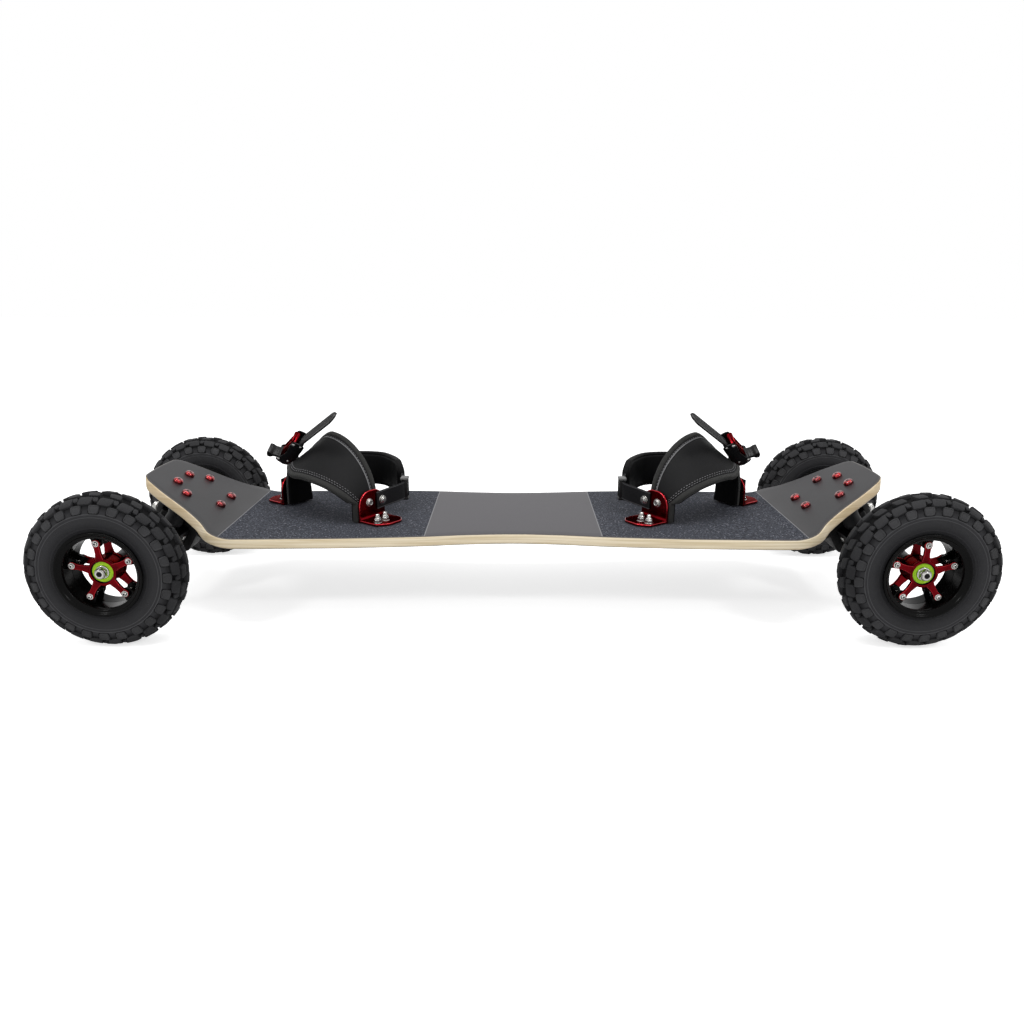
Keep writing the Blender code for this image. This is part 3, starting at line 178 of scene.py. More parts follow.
def slab(outline, low, high, edge):
    """The outline from low to high along z, drawn in near both faces by a quarter circle of radius edge."""
    outline = np.asarray(outline, float)
    a = np.linspace(0.0, math.pi / 2, EDGE_STEPS + 1)
    inset, rise = edge * (1 - np.sin(a)), edge * (1 - np.cos(a))
    inset = np.concatenate([inset, inset[::-1]])
    z = np.concatenate([low + rise, (high - rise)[::-1]])
    xy = outline[None] + inward(outline)[None] * inset[:, None, None]
    return np.concatenate([xy, np.broadcast_to(z[:, None, None], (*xy.shape[:2], 1))], -1)


def turned(profile, steps):
    """(z, r) points turned about z: x = r cos a, y = r sin a."""
    z, r = np.asarray(profile, float).T
    a = np.arange(steps) * math.tau / steps
    return np.stack(np.broadcast_arrays(r[:, None] * np.cos(a), r[:, None] * np.sin(a), z[:, None]), -1)


def swept(path, section, side):
    """The section along the path: its first number goes along side x tangent, its second along side."""
    side = np.broadcast_to(np.asarray(side, float), path.shape)
    normal = unit(np.cross(side, unit(np.gradient(path, axis=0))))
    section = np.broadcast_to(section, (len(path), *np.shape(section)[-2:]))
    return path[:, None] + normal[:, None] * section[..., :1] + side[:, None] * section[..., 1:]


def even(path, step):
    """The path again, at equal steps of its own length, and the length at each."""
    length = run_along(path)
    spots = np.linspace(0.0, length[-1], max(int(round(length[-1] / step)), 2) + 1)
    return np.stack([np.interp(spots, length, path[:, k]) for k in range(path.shape[1])], 1), spots


def through(points, count):
    """A Catmull-Rom curve through the points: the slope at each is half the chord between its neighbours."""
    p = np.asarray(points, float)
    p = np.concatenate([2 * p[:1] - p[1:2], p, 2 * p[-1:] - p[-2:-1]])
    where = np.linspace(0.0, len(points) - 1 - 1e-9, count)
    k = where.astype(int)
    s = (where - k)[:, None]
    a, b, c, d = p[k], p[k + 1], p[k + 2], p[k + 3]
    return 0.5 * (2 * b + (c - a) * s + (2 * a - 5 * b + 4 * c - d) * s**2 + (3 * b - a - 3 * c + d) * s**3)


def hexagon(flats):
    """A hexagon by its size across flats."""
    a = np.radians(np.arange(6) * 60.0 + 30.0)
    return np.stack([np.cos(a), np.sin(a)], 1) * flats / 2 / math.cos(math.pi / 6)


class Shells:
    """Closed shells gathered into one piece, each a grid of points in rows with the number of its finish."""

    def __init__(self):
        self.points, self.faces, self.finish, self.skins, self.count = [], [], [], [], 0

    def add(self, grid, place=None, loop_rows=False, loop_columns=True, ends=True, finish=0, skin=None):
        """Joins neighbouring points of the grid by quads, and its first and last rows by flat caps."""
        rows, columns = grid.shape[:2]
        index = self.count + np.arange(rows * columns).reshape(rows, columns)
        if loop_rows:
            index = np.concatenate([index, index[:1]])
        if loop_columns:
            index = np.concatenate([index, index[:, :1]], 1)
        quads = np.stack([index[:-1, :-1], index[1:, :-1], index[1:, 1:], index[:-1, 1:]], -1).reshape(-1, 4)
        faces = quads.tolist()
        if ends and not loop_rows:
            faces += [index[0, :columns].tolist(), index[-1, :columns].tolist()]
        points = grid.reshape(-1, 3)
        self.points.append(points if place is None else lift(place, points))
        self.faces += faces
        self.finish += [finish] * len(faces) if np.isscalar(finish) else list(finish)
        self.skins.append(np.zeros((rows * columns, 2)) if skin is None else skin.reshape(-1, 2))
        self.count += rows * columns
        return self

    def plate(self, corners, radius, low, high, edge, place, finish=0):
        """A slab from low to high whose corners in plan are rounded by radius."""
        return self.add(slab(rounded(corners, radius), low, high, edge), place, finish=finish)

    def spun(self, profile, radius, steps, place, ring=False, finish=0):
        """A rounded (z, r) profile turned about z: a ring of that section, or a solid capped at both ends."""
        grid = turned(rounded(profile, radius, closed=ring), steps)
        return self.add(grid, place, loop_rows=ring, finish=finish)

    def make(self, name, finishes, body, replaces=(), slot=None, crease=35.0, skin=False, merge=0.0):
        """The piece, with its faces turned outwards, riding on its body, or on none."""
        mesh = bpy.data.meshes.new(name)
        mesh.from_pydata(np.concatenate(self.points), [], self.faces)
        mesh.polygons.foreach_set("material_index", np.array(self.finish, np.int32))
        if skin:
            layer = mesh.uv_layers.new(name="skin")
            corners = np.zeros(len(mesh.loops), np.int32)
            mesh.loops.foreach_get("vertex_index", corners)
            layer.data.foreach_set("uv", np.concatenate(self.skins)[corners].astype(np.float32).ravel())
        build = bmesh.new()
        build.from_mesh(mesh)
        if merge:
            bmesh.ops.remove_doubles(build, verts=build.verts, dist=merge)
        bmesh.ops.recalc_face_normals(build, faces=build.faces)
        build.to_mesh(mesh)
        build.free()
        for finish in finishes:
            mesh.materials.append(finish.material)
        mesh.shade_smooth()
        mesh.set_sharp_from_angle(angle=math.radians(crease))
        made = bpy.data.objects.new(name, mesh)
        bpy.context.scene.collection.objects.link(made)
        if body:
            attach(made, body)
        if replaces:
            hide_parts(*replaces)
        return made


# Finishes. Plain colours are given in 0-255 screen values.


def linear(*srgb):
    """A colour given in screen values, as light."""
    return tuple(c / 255 / 12.92 if c <= 10 else ((c / 255 + 0.055) / 1.055) ** 2.4 for c in srgb) + (1.0,)


class Value:
    """A number that varies over a surface. Arithmetic on it adds Math nodes."""

    def __init__(self, nodes, socket):
        self.nodes, self.socket = nodes, socket

    def math(self, operation, *others):
        return self.nodes.node("Math", {"operation": operation}, [self, *others])

    def __add__(self, other):
        return self.math("ADD", other)

    def __sub__(self, other):
        return self.math("SUBTRACT", other)

    def __mul__(self, other):
        return self.math("MULTIPLY", other)

    def __rsub__(self, other):
        return self * -1.0 + other

    def __abs__(self):
        return self.math("ABSOLUTE")

    __radd__ = __add__

    def most(self, other):
        return self.math("MAXIMUM", other)

    def wave(self, pitch):
        """A sine that comes round once in each pitch."""
        return (self * (math.tau / pitch)).math("SINE")

    def rise(self, low, high):
        """0 below low, 1 above high, and smooth between them."""
        settings = {"interpolation_type": "SMOOTHSTEP"}
        return self.nodes.node("MapRange", settings, {"Value": self, "From Min": low, "From Max": high})

    def line(self, centre, solid, gone):
        """1 within solid of the centre, fading to 0 at gone from it."""
        return 1.0 - abs(self - centre).rise(solid, gone)


class Nodes:
    """A node tree, and the means to add nodes to it."""

    def __init__(self, tree):
        self.tree = tree

    def plug(self, value, socket):
        if isinstance(value, Value):
            self.tree.links.new(value.socket, socket)
        else:
            socket.default_value = value

    def node(self, kind, settings, values, output=0):
        """A node of the kind, with its settings, then values or links for its sockets, by name or in order."""
        made = self.tree.nodes.new("ShaderNode" + kind)
        for key, value in settings.items():
            setattr(made, key, value)
        for key, value in values.items() if isinstance(values, dict) else enumerate(values):
            self.plug(value, made.inputs[key])
        return Value(self, made.outputs[output])

    def ray(self, kind):
        """1 for rays of the kind, such as Camera, and 0 for all others."""
        return self.node("LightPath", {}, {}, f"Is {kind} Ray")


class Finish(Nodes):
    """One material: a Principled shader, and nodes that vary its colour, roughness and bumps."""

    def __init__(self, name, colour, roughness, metallic=0.0, **constants):
        self.material = bpy.data.materials.new(name)
        self.material.use_nodes = True
        super().__init__(self.material.node_tree)
        self.shader = self.tree.nodes["Principled BSDF"]
        self.material.diffuse_color = linear(*colour)
        self.set("Base Color", linear(*colour))
        self.set("Roughness", roughness)
        self.set("Metallic", metallic)
        for key, value in constants.items():
            self.set(key.replace("_", " ").title().replace("Ior", "IOR"), value)

    def set(self, socket, value):
        self.plug(value, self.shader.inputs[socket])

    def parts(self, vector):
        """The three numbers of a vector."""
        return [Value(self, out) for out in self.node("SeparateXYZ", {}, [vector]).socket.node.outputs]

    def spot(self, stretch=None):
        """Where on the piece: its Object coordinates, stretched."""
        place = self.node("TexCoord", {}, {}, "Object")
        return self.node("Mapping", {}, {"Vector": place, "Scale": stretch}) if stretch else place

    def skin(self):
        """The piece's own coordinates: along it and across it, in metres."""
        return self.parts(self.node("UVMap", {"uv_map": "skin"}, {}))[:2]

    def noise(self, scale, detail, stretch=None):
        return self.node("TexNoise", {}, {"Vector": self.spot(stretch), "Scale": scale, "Detail": detail})

    def cells(self, scale):
        """A number of its own for each small cell."""
        return self.parts(self.node("TexVoronoi", {}, {"Vector": self.spot(), "Scale": scale}, "Color"))[0]

    def mix(self, share, low, high):
        """The colour low where share is 0, high where it is 1."""
        low, high = (c if isinstance(c, Value) else linear(*c) for c in (low, high))
        return self.node("Mix", {"data_type": "RGBA"}, {0: share, 6: low, 7: high}, 2)

    def bump(self, height, distance, strength):
        values = {"Height": height, "Distance": distance, "Strength": strength}
        self.set("Normal", self.node("Bump", {}, values))


def deck_top_finish():
    """Satin panels in the middle and on the tips, grit between them, and a pale line at each seam. The tip panels
    are the same satin painted darker, as painted shade.
    """
    made = Finish("deck_panels", (60, 59, 62), 0.5, specular_ior_level=0.30)
    start, end = GRIT_SPAN
    x = abs(made.parts(made.spot())[0])
    grit = x.rise(start - 0.0004, start + 0.0004) - x.rise(end - 0.0004, end + 0.0004)
    seam = x.line(start - 0.0002, 0.0004, 0.0010).most(x.line(end - 0.0002, 0.0003, 0.0008))
    tip = x.rise(end - 0.001, end + 0.001)
    grain = made.cells(620.0)
    fine = made.noise(420.0, 3.0)
    broad = made.noise(9.0, 3.0)
    sparkle = grain.rise(0.84, 1.0) * fine.rise(0.42, 0.62)
    stone = made.mix(fine.rise(0.35, 0.68), (31, 33, 40), (70, 73, 82))
    stone = made.mix(sparkle, stone, (136, 136, 144))
    # Painted shade: the tips take a darker copy of the same satin, standing in for their weaker sheen.
    satin = made.mix(tip, (64, 62, 66), (41, 40, 42))
    satin = made.mix(broad.rise(0.30, 0.75) * 0.25, satin, (66, 64, 67))
    made.set("Base Color", made.mix(seam * 0.55, made.mix(grit, satin, stone), (150, 150, 152)))
    made.set("Roughness", 0.40 + grit * 0.42 + fine * 0.05)
    made.bump(grit * (grain * 0.6 + fine) + (1.0 - grit) * made.noise(900.0, 2.0) * 0.06, 0.0006, 0.8)
    return made


def deck_edge_finish():
    """Pale maple core between two dark skins, with faint plies and grain, warmer at the ends, and darkened
    towards the bottom as painted shade.
    """
    made = Finish("deck_edge", (226, 212, 184), 0.42, coat_weight=0.25, coat_roughness=0.2)
    depth = made.skin()[1]
    streak = made.noise(60.0, 4.0, (0.12, 0.12, 6.0))
    plies = depth.wave(0.0018)
    wood = made.mix(streak.rise(0.3, 0.72), (236, 223, 196), (208, 189, 152))
    wood = made.mix(plies.rise(0.55, 1.0) * 0.25, wood, (186, 164, 126))
    ends = abs(made.parts(made.spot())[0]).rise(0.395, 0.450)
    wood = made.mix(ends * 0.40, wood, (198, 164, 108))
    # Painted shade: the edge darkens towards its lower, downward-rounded part.
    low = depth.rise(0.0100, DECK_THICKNESS - 0.0010)
    wood = made.mix(low * 0.30, wood, (168, 150, 120))
    base_skin = depth.rise(DECK_THICKNESS - 0.0014, DECK_THICKNESS - 0.0009)
    skins = (1.0 - depth.rise(0.0006, 0.0011)).most(base_skin)
    made.set("Base Color", made.mix(skins, wood, (52, 46, 42)))
    made.bump(streak * 0.4 + plies * 0.1, 0.0003, 0.5)
    return made


def speckled(name, dark, light, roughness, specular, scale, detail=2.0, spread=0.12, bumps=0.0002):
    """A finish whose colour and roughness drift a little at two scales, over a fine grain of bumps."""
    made = Finish(name, dark, roughness, specular_ior_level=specular)
    drift = made.noise(14.0, 3.0)
    grain = made.noise(scale, detail)
    made.set("Base Color", made.mix(drift.rise(0.30, 0.70) * 0.6 + grain.rise(0.4, 0.7) * 0.4, dark, light))
    made.set("Roughness", (drift - 0.5) * spread + (grain - 0.5) * spread + roughness)
    made.bump(grain, bumps, 0.6)
    return made


def rubber_finish(name, dark, light, rubbed, specular):
    """Tyre rubber: near black, dusty in patches, paler where it is rubbed."""
    made = Finish(name, dark, 0.62, specular_ior_level=specular)
    drift = made.noise(22.0, 4.0)
    grain = made.noise(1400.0, 3.0)
    colour = made.mix(drift.rise(0.30, 0.72), dark, light)
    made.set("Base Color", made.mix(grain.rise(0.55, 0.75) * 0.35, colour, rubbed))
    made.set("Roughness", 0.50 + drift * 0.20)
    made.bump(grain + drift * 0.5, 0.0003, 0.6)
    return made


def sidewall_finish():
    """Sidewall rubber: darker by the rim, paler and dusty further out, darker again towards the shoulder as
    painted shade, with fine moulded rings between and a painted highlight on two ring lines.
    """
    made = Finish("tyre_sidewall", (42, 42, 44), 0.6, specular_ior_level=0.12)
    reach = made.skin()[1]
    drift = made.noise(22.0, 4.0)
    grain = made.noise(1400.0, 3.0)
    pale = reach.rise(0.0585, 0.0700) * 0.75 + drift.rise(0.30, 0.72) * 0.25
    colour = made.mix(pale, (31, 31, 33), (48, 48, 50))
    # Painted shade: darker towards the shoulder, between the tray blocks.
    colour = made.mix(reach.rise(0.0800, 0.0860) * 0.8, colour, (22, 22, 24))
    # Painted highlight: pale lines on two of the moulded rings.
    ring_highlights = reach.line(0.0772, 0.0004, 0.0010).most(reach.line(0.0735, 0.0003, 0.0007))
    colour = made.mix(ring_highlights * 0.45, colour, (86, 86, 88))
    made.set("Base Color", made.mix(grain.rise(0.55, 0.75) * 0.3, colour, (70, 70, 72)))
    made.set("Roughness", 0.50 + drift * 0.18)
    rings = reach.wave(0.0016) * (reach.rise(0.0625, 0.0635) - reach.rise(0.0735, 0.0745))
    made.bump(grain * 0.6 + drift * 0.4 + rings * 0.5, 0.0003, 0.7)
    return made


def metal_finish(name, colour, pale, roughness, **constants):
    """A turned or rolled metal: fine grain in the roughness and a faint drift of colour."""
    made = Finish(name, colour, roughness, 1.0, **constants)
    grain = made.noise(700.0, 3.0)
    drift = made.noise(60.0, 3.0)
    made.set("Base Color", made.mix(drift.rise(0.35, 0.70), colour, pale))
    made.set("Roughness", roughness - 0.06 + grain * 0.12)
    made.bump(grain, 0.00008, 0.5)
    return made


def weave_finish(name, dark, light, pitch, edge_half=None, edge_colour=None):
    """Woven band: ribs along it cross ribs over it, and a line may run by each edge."""
    made = Finish(name, dark, 0.8, specular_ior_level=0.08, sheen_weight=0.08, sheen_roughness=0.5)
    along, across = made.skin()
    ribs = along.wave(pitch) * across.wave(pitch * 0.8)
    drift = made.noise(120.0, 3.0)
    colour = made.mix(ribs.rise(-0.6, 0.8) * 0.5 + drift * 0.3, dark, light)
    if edge_half:
        colour = made.mix(abs(across).line(edge_half, 0.0003, 0.0008) * 0.8, colour, edge_colour)
    made.set("Base Color", colour)
    made.set("Roughness", 0.72 + ribs * 0.06)
    made.bump(ribs * 0.5 + drift * 0.3, 0.0004, 0.7)
    return made


deck_panels = deck_top_finish()
deck_edge = deck_edge_finish()
deck_base = speckled("deck_base", (20, 20, 22), (30, 30, 32), 0.45, 0.2, 500.0)
rubber = sidewall_finish()
# Painted shade: this darker copy of the tyre rubber goes in the grooves and round the foot of each block.
groove_shade_rubber = rubber_finish("tyre_groove_painted_shade", (13, 13, 14), (22, 22, 23), (32, 32, 33), 0.05)
tread_rubber = rubber_finish("tyre_blocks", (26, 26, 28), (40, 40, 42), (60, 60, 62), 0.20)
tray_rubber = rubber_finish("tyre_trays", (36, 36, 38), (50, 50, 52), (72, 72, 74), 0.30)
gloss_black = speckled("gloss_black", (4, 4, 4), (8, 8, 8), 0.20, 0.08, 300.0, 2.0, 0.05, 0.00006)
cast_black = speckled("cast_black", (10, 10, 11), (20, 20, 21), 0.38, 0.22, 800.0, 3.0, 0.15, 0.00025)
# One anodised red: red_metal's dark colour paints a dark reflection on the faces, and red_edge_highlight's paler
# colour paints a highlight on the rounded edges.
red_metal = metal_finish("red_anodised", (108, 4, 13), (74, 3, 9), 0.24,
                         coat_weight=0.06, coat_roughness=0.08, specular_tint=linear(170, 20, 34))
red_edge_highlight = metal_finish("red_edge_highlight", (178, 30, 40), (140, 18, 28), 0.20,
                        coat_weight=0.35, coat_roughness=0.08)
red_bolt = metal_finish("red_bolt_head", (150, 6, 15), (112, 5, 12), 0.18,
                        coat_weight=1.0, coat_roughness=0.05)
socket_dark = speckled("socket_shadow", (30, 4, 6), (20, 3, 5), 0.5, 0.1, 700.0)
# Painted shade for the hollow ends of the axles.
axle_hollow_shade = speckled("axle_hollow_shade", (12, 11, 14), (20, 19, 22), 0.5, 0.1, 700.0)
steel = metal_finish("bright_steel", (206, 205, 202), (170, 169, 166), 0.22)
# Dark steel for the bearing races, and painted shade inside the hexagon sockets of steel screw heads.
dark_steel_and_socket_shade = metal_finish("dark_steel_and_socket_shade", (62, 62, 64), (46, 46, 48), 0.35)
lime = speckled("lime_seal", (172, 220, 30), (150, 200, 20), 0.38, 0.3, 500.0, 2.0, 0.08, 0.0001)
elastomer = speckled("damper_elastomer", (16, 16, 18), (26, 26, 28), 0.5, 0.2, 400.0)
pad_face = speckled("pad_face", (17, 17, 18), (25, 25, 26), 0.55, 0.10, 1500.0, 3.0, 0.12, 0.00035)
pad_lining = speckled("pad_lining", (9, 9, 10), (16, 16, 17), 0.85, 0.05, 1100.0, 4.0, 0.1, 0.0005)
pad_band = weave_finish("pad_band", (40, 40, 40), (64, 64, 62), 0.0011)
piping = speckled("piping", (120, 120, 122), (96, 96, 98), 0.45, 0.5, 1500.0)
heel_face = speckled("heel_pad_face", (12, 12, 13), (18, 18, 19), 0.6, 0.08, 1500.0, 3.0, 0.12, 0.00035)
thread = speckled("thread", (128, 128, 130), (96, 96, 98), 0.7, 0.2, 2500.0)
webbing = weave_finish("webbing", (15, 15, 17), (30, 30, 33), 0.0016, 0.0113, (84, 84, 86))
plastic = speckled("black_plastic", (8, 8, 9), (16, 16, 17), 0.36, 0.22, 900.0, 3.0, 0.1, 0.00015)
strap_plastic = speckled("strap_plastic", (14, 14, 15), (26, 26, 27), 0.42, 0.22, 900.0, 3.0, 0.1, 0.0002)
top_highlight_plastic = speckled("top_highlight_plastic", (104, 104, 104), (82, 82, 82), 0.42, 0.5, 900.0)


# Deck


def half_width(x):
    """A cubic curve through HALF_WIDTHS whose slope at each is the harmonic mean of its neighbours'."""
    xs, ys = HALF_WIDTHS.T
    slopes = np.diff(ys) / np.diff(xs)
    before, after = slopes[:-1], slopes[1:]
    same = before * after > 0
    total = np.where(same, before + after, 1.0)
    tangents = np.concatenate([[0.0], np.where(same, 2 * before * after / total, 0.0), slopes[-1:]])
    k = np.clip(np.searchsorted(xs, x, side="right") - 1, 0, len(xs) - 2)
    h = xs[k + 1] - xs[k]
    s = (x - xs[k]) / h
    near = ys[k] * (1 + 2 * s) * (1 - s) ** 2 + h * tangents[k] * s * (1 - s) ** 2
    return near + ys[k + 1] * s * s * (3 - 2 * s) + h * tangents[k + 1] * s * s * (s - 1)


SLOPE_AT_BEND = -2 * CAMBER * BEND_START / CAMBER_SPAN**2
TIP_SLOPE = math.tan(TIP_ANGLE)


def deck_slope(x):
    """Slope of the deck's top: camber, then a bend in which it grows evenly, then the flat tip."""
    share = np.clip((x - BEND_START) / (BEND_END - BEND_START), 0.0, 1.0)
    bent = SLOPE_AT_BEND + (TIP_SLOPE - SLOPE_AT_BEND) * share
    return np.where(x < BEND_START, -2 * CAMBER * x / CAMBER_SPAN**2, bent)


def deck_height(x):
    """Height of the deck's top: the slope added up from the middle."""
    x = np.abs(x)
    flat = np.minimum(x, BEND_START)
    bent = np.clip(x - BEND_START, 0.0, BEND_END - BEND_START)
    height = DECK_TOP - CAMBER * (flat / CAMBER_SPAN) ** 2
    height = height + bent * (SLOPE_AT_BEND + deck_slope(BEND_START + bent)) / 2
    return height + np.maximum(x - BEND_END, 0.0) * TIP_SLOPE


def deck_outline():
    """A quarter of the deck in plan: its side from the middle, its corner, and half of its bowed end."""
    corner_x = DECK_END_X - DECK_CORNER
    xs = np.concatenate([np.linspace(0.0, BEND_START, 60), np.linspace(BEND_START, corner_x, 60)[1:]])
    side = np.stack([xs, half_width(xs)], 1)
    a = np.linspace(0.0, math.pi / 2, 11)[1:]
    start, end = half_width(np.array([corner_x, DECK_END_X]))
    lean = start + (end - start) * np.sin(a)
    corner = np.stack([corner_x + DECK_CORNER * np.sin(a), lean - DECK_CORNER * (1 - np.cos(a))], 1)
    ys = np.linspace(corner[-1, 1], 0.0, 9)
    across = np.stack([DECK_END_X + DECK_END_BOW * (1 - (ys / ys[0]) ** 2), ys], 1)
    return side, corner, across


def deck_point(x, y, depth):
    """A point below the deck's top at (x, y): square to the surface, but upright at the very end."""
    size = np.abs(x)
    slope = deck_slope(size)
    length = np.hypot(1.0, slope)
    upright = np.clip(1.0 - (DECK_END_X - size) / UPRIGHT_LENGTH, 0.0, 1.0)
    lean = -slope / length * (1.0 - upright) * np.sign(x)
    down = (1.0 - upright) / length + upright * length
    return np.stack(np.broadcast_arrays(x - depth * lean, y, deck_height(x) - depth * down), -1)


def make_deck():
    """The deck: a grid for its top and one for its base, joined by the rings of its rounded edge."""
    side, corner, across = deck_outline()
    quarter = np.concatenate([side, corner])
    right = np.concatenate([quarter * (1, -1), across[1:-1] * (1, -1), across[-1:], across[1:-1][::-1],
                            quarter[::-1]])
    outline = np.concatenate([right, right[1:-1][::-1] * (-1, 1)])
    step = inward(outline)
    a = np.linspace(0.0, math.pi / 2, 5)
    inset, drop = DECK_EDGE * (1 - np.sin(a)), DECK_EDGE * (1 - np.cos(a))
    inset = np.concatenate([inset, inset[::-1]])
    depth = np.concatenate([drop, DECK_THICKNESS - drop[::-1]])
    rings = np.array([deck_point(*(outline + step * inner).T, under) for inner, under in zip(inset, depth)])
    skin = np.stack(np.broadcast_arrays(run_along(outline)[None], depth[:, None]), -1)
    skin = np.concatenate([skin, skin[:, :1] + (0.002, 0.0)], 1)
    shells = Shells()
    shells.add(np.concatenate([rings, rings[:, :1]], 1), loop_columns=False, ends=False, finish=1, skin=skin)

    number = {(round(x, 6), round(y, 6)): k for k, (x, y) in enumerate(outline)}

    def found(points):
        return [number[(round(x, 6), round(y, 6))] for x, y in points]

    near = np.concatenate([(quarter * (-1, -1))[::-1], (quarter * (1, -1))[1:]])
    end = np.concatenate([across[:-1] * (1, -1), across[::-1]])
    share = np.linspace(0.0, 1.0, len(end))[None, :, None]
    for inner, under, finish in ((inset[0], 0.0, 0), (inset[-1], DECK_THICKNESS, 2)):
        spot = outline + step * inner
        flat = spot[found(near)][:, None] * (1 - share) + spot[found(near * (1, -1))][:, None] * share
        flat[0], flat[-1] = spot[found(end * (-1, 1))], spot[found(end)]
        grid = deck_point(flat[..., 0], flat[..., 1], under)
        shells.add(grid, loop_columns=False, ends=False, finish=finish)
    return shells.make("deck_board", [deck_panels, deck_edge, deck_base], "board", ["deck"], "deck_top",
                       crease=50.0, skin=True, merge=2e-6)


make_deck()


# Trucks: x outward and up along the kingpin, y across, z square to the deck's tip


def truck_place(side):
    """The truck's frame. The axle lies AXLE_DROP below its origin along z."""
    outward = np.array([-math.cos(TIP_ANGLE), 0.0, math.sin(TIP_ANGLE)])
    normal = np.array([math.sin(TIP_ANGLE), 0.0, math.cos(TIP_ANGLE)])
    origin = np.array([-HALF_BASE, 0.0, TYRE_RADIUS]) + AXLE_DROP * normal
    place = axes(origin, outward, np.cross(normal, outward), normal)
    return place if side == "left" else turn_z(math.pi) @ place


ORIGIN, NORMAL = truck_place("left")[:3, 3], truck_place("left")[:3, 2]
TIP_UNDER = float((np.array([-BEND_END, 0.0, deck_height(BEND_END)]) - ORIGIN) @ NORMAL) - DECK_THICKNESS
PLATE_TOP = TIP_UNDER - FIT
PLATE_LOW = PLATE_TOP - 0.0055
CHANNEL_TOP = PLATE_LOW - FIT
DECK_BOLTS = ((0.0079, 0.0212), (-0.0153, 0.0445), (-0.0589, 0.0225))


def button_head(shells, place, radius, height, socket, finish=0, steps=32):
    """A domed screw head standing on z = 0, with a hexagon socket of finish 1 sunk in it; finish 1 paints the
    shade inside the socket.
    """
    turn = 1.25
    a = np.linspace(0.0, turn, 9)
    rise = height * (0.22 + 0.78 * np.sin(a) / math.sin(turn))
    dome = np.stack([rise, radius * (1 - 0.62 * (1 - np.cos(a)))], 1)
    profile = np.concatenate([[(-0.0008, radius * 0.97), (0.0, radius)], dome,
                              [(height, socket * 1.12), (height - 0.0003, socket * 1.02)]])
    shells.add(turned(profile, steps), place, finish=finish)
    shells.plate(hexagon(socket * 1.8), 0.0002, height - 0.0012, height + 0.00005, 0.0001, place, 1)


def edged(shells, outline, low, high, edge, place):
    """A slab of finish 0 whose rounded edges are of finish 1, a paler copy that paints a highlight on them."""
    grid = slab(outline, low, high, edge)
    bevel, wall = [1] * (EDGE_STEPS * grid.shape[1]), [0] * grid.shape[1]
    return shells.add(grid, place, finish=bevel + wall + bevel + [0, 0])


def mirrored(half):
    """The points, and their mirror images in the first number's axis in reverse."""
    return half + [(t, -y) for t, y in reversed(half)]


def symmetric(half):
    """The points, and their mirror images in the second number's axis in reverse."""
    return half + [(-y, n) for y, n in reversed(half)]


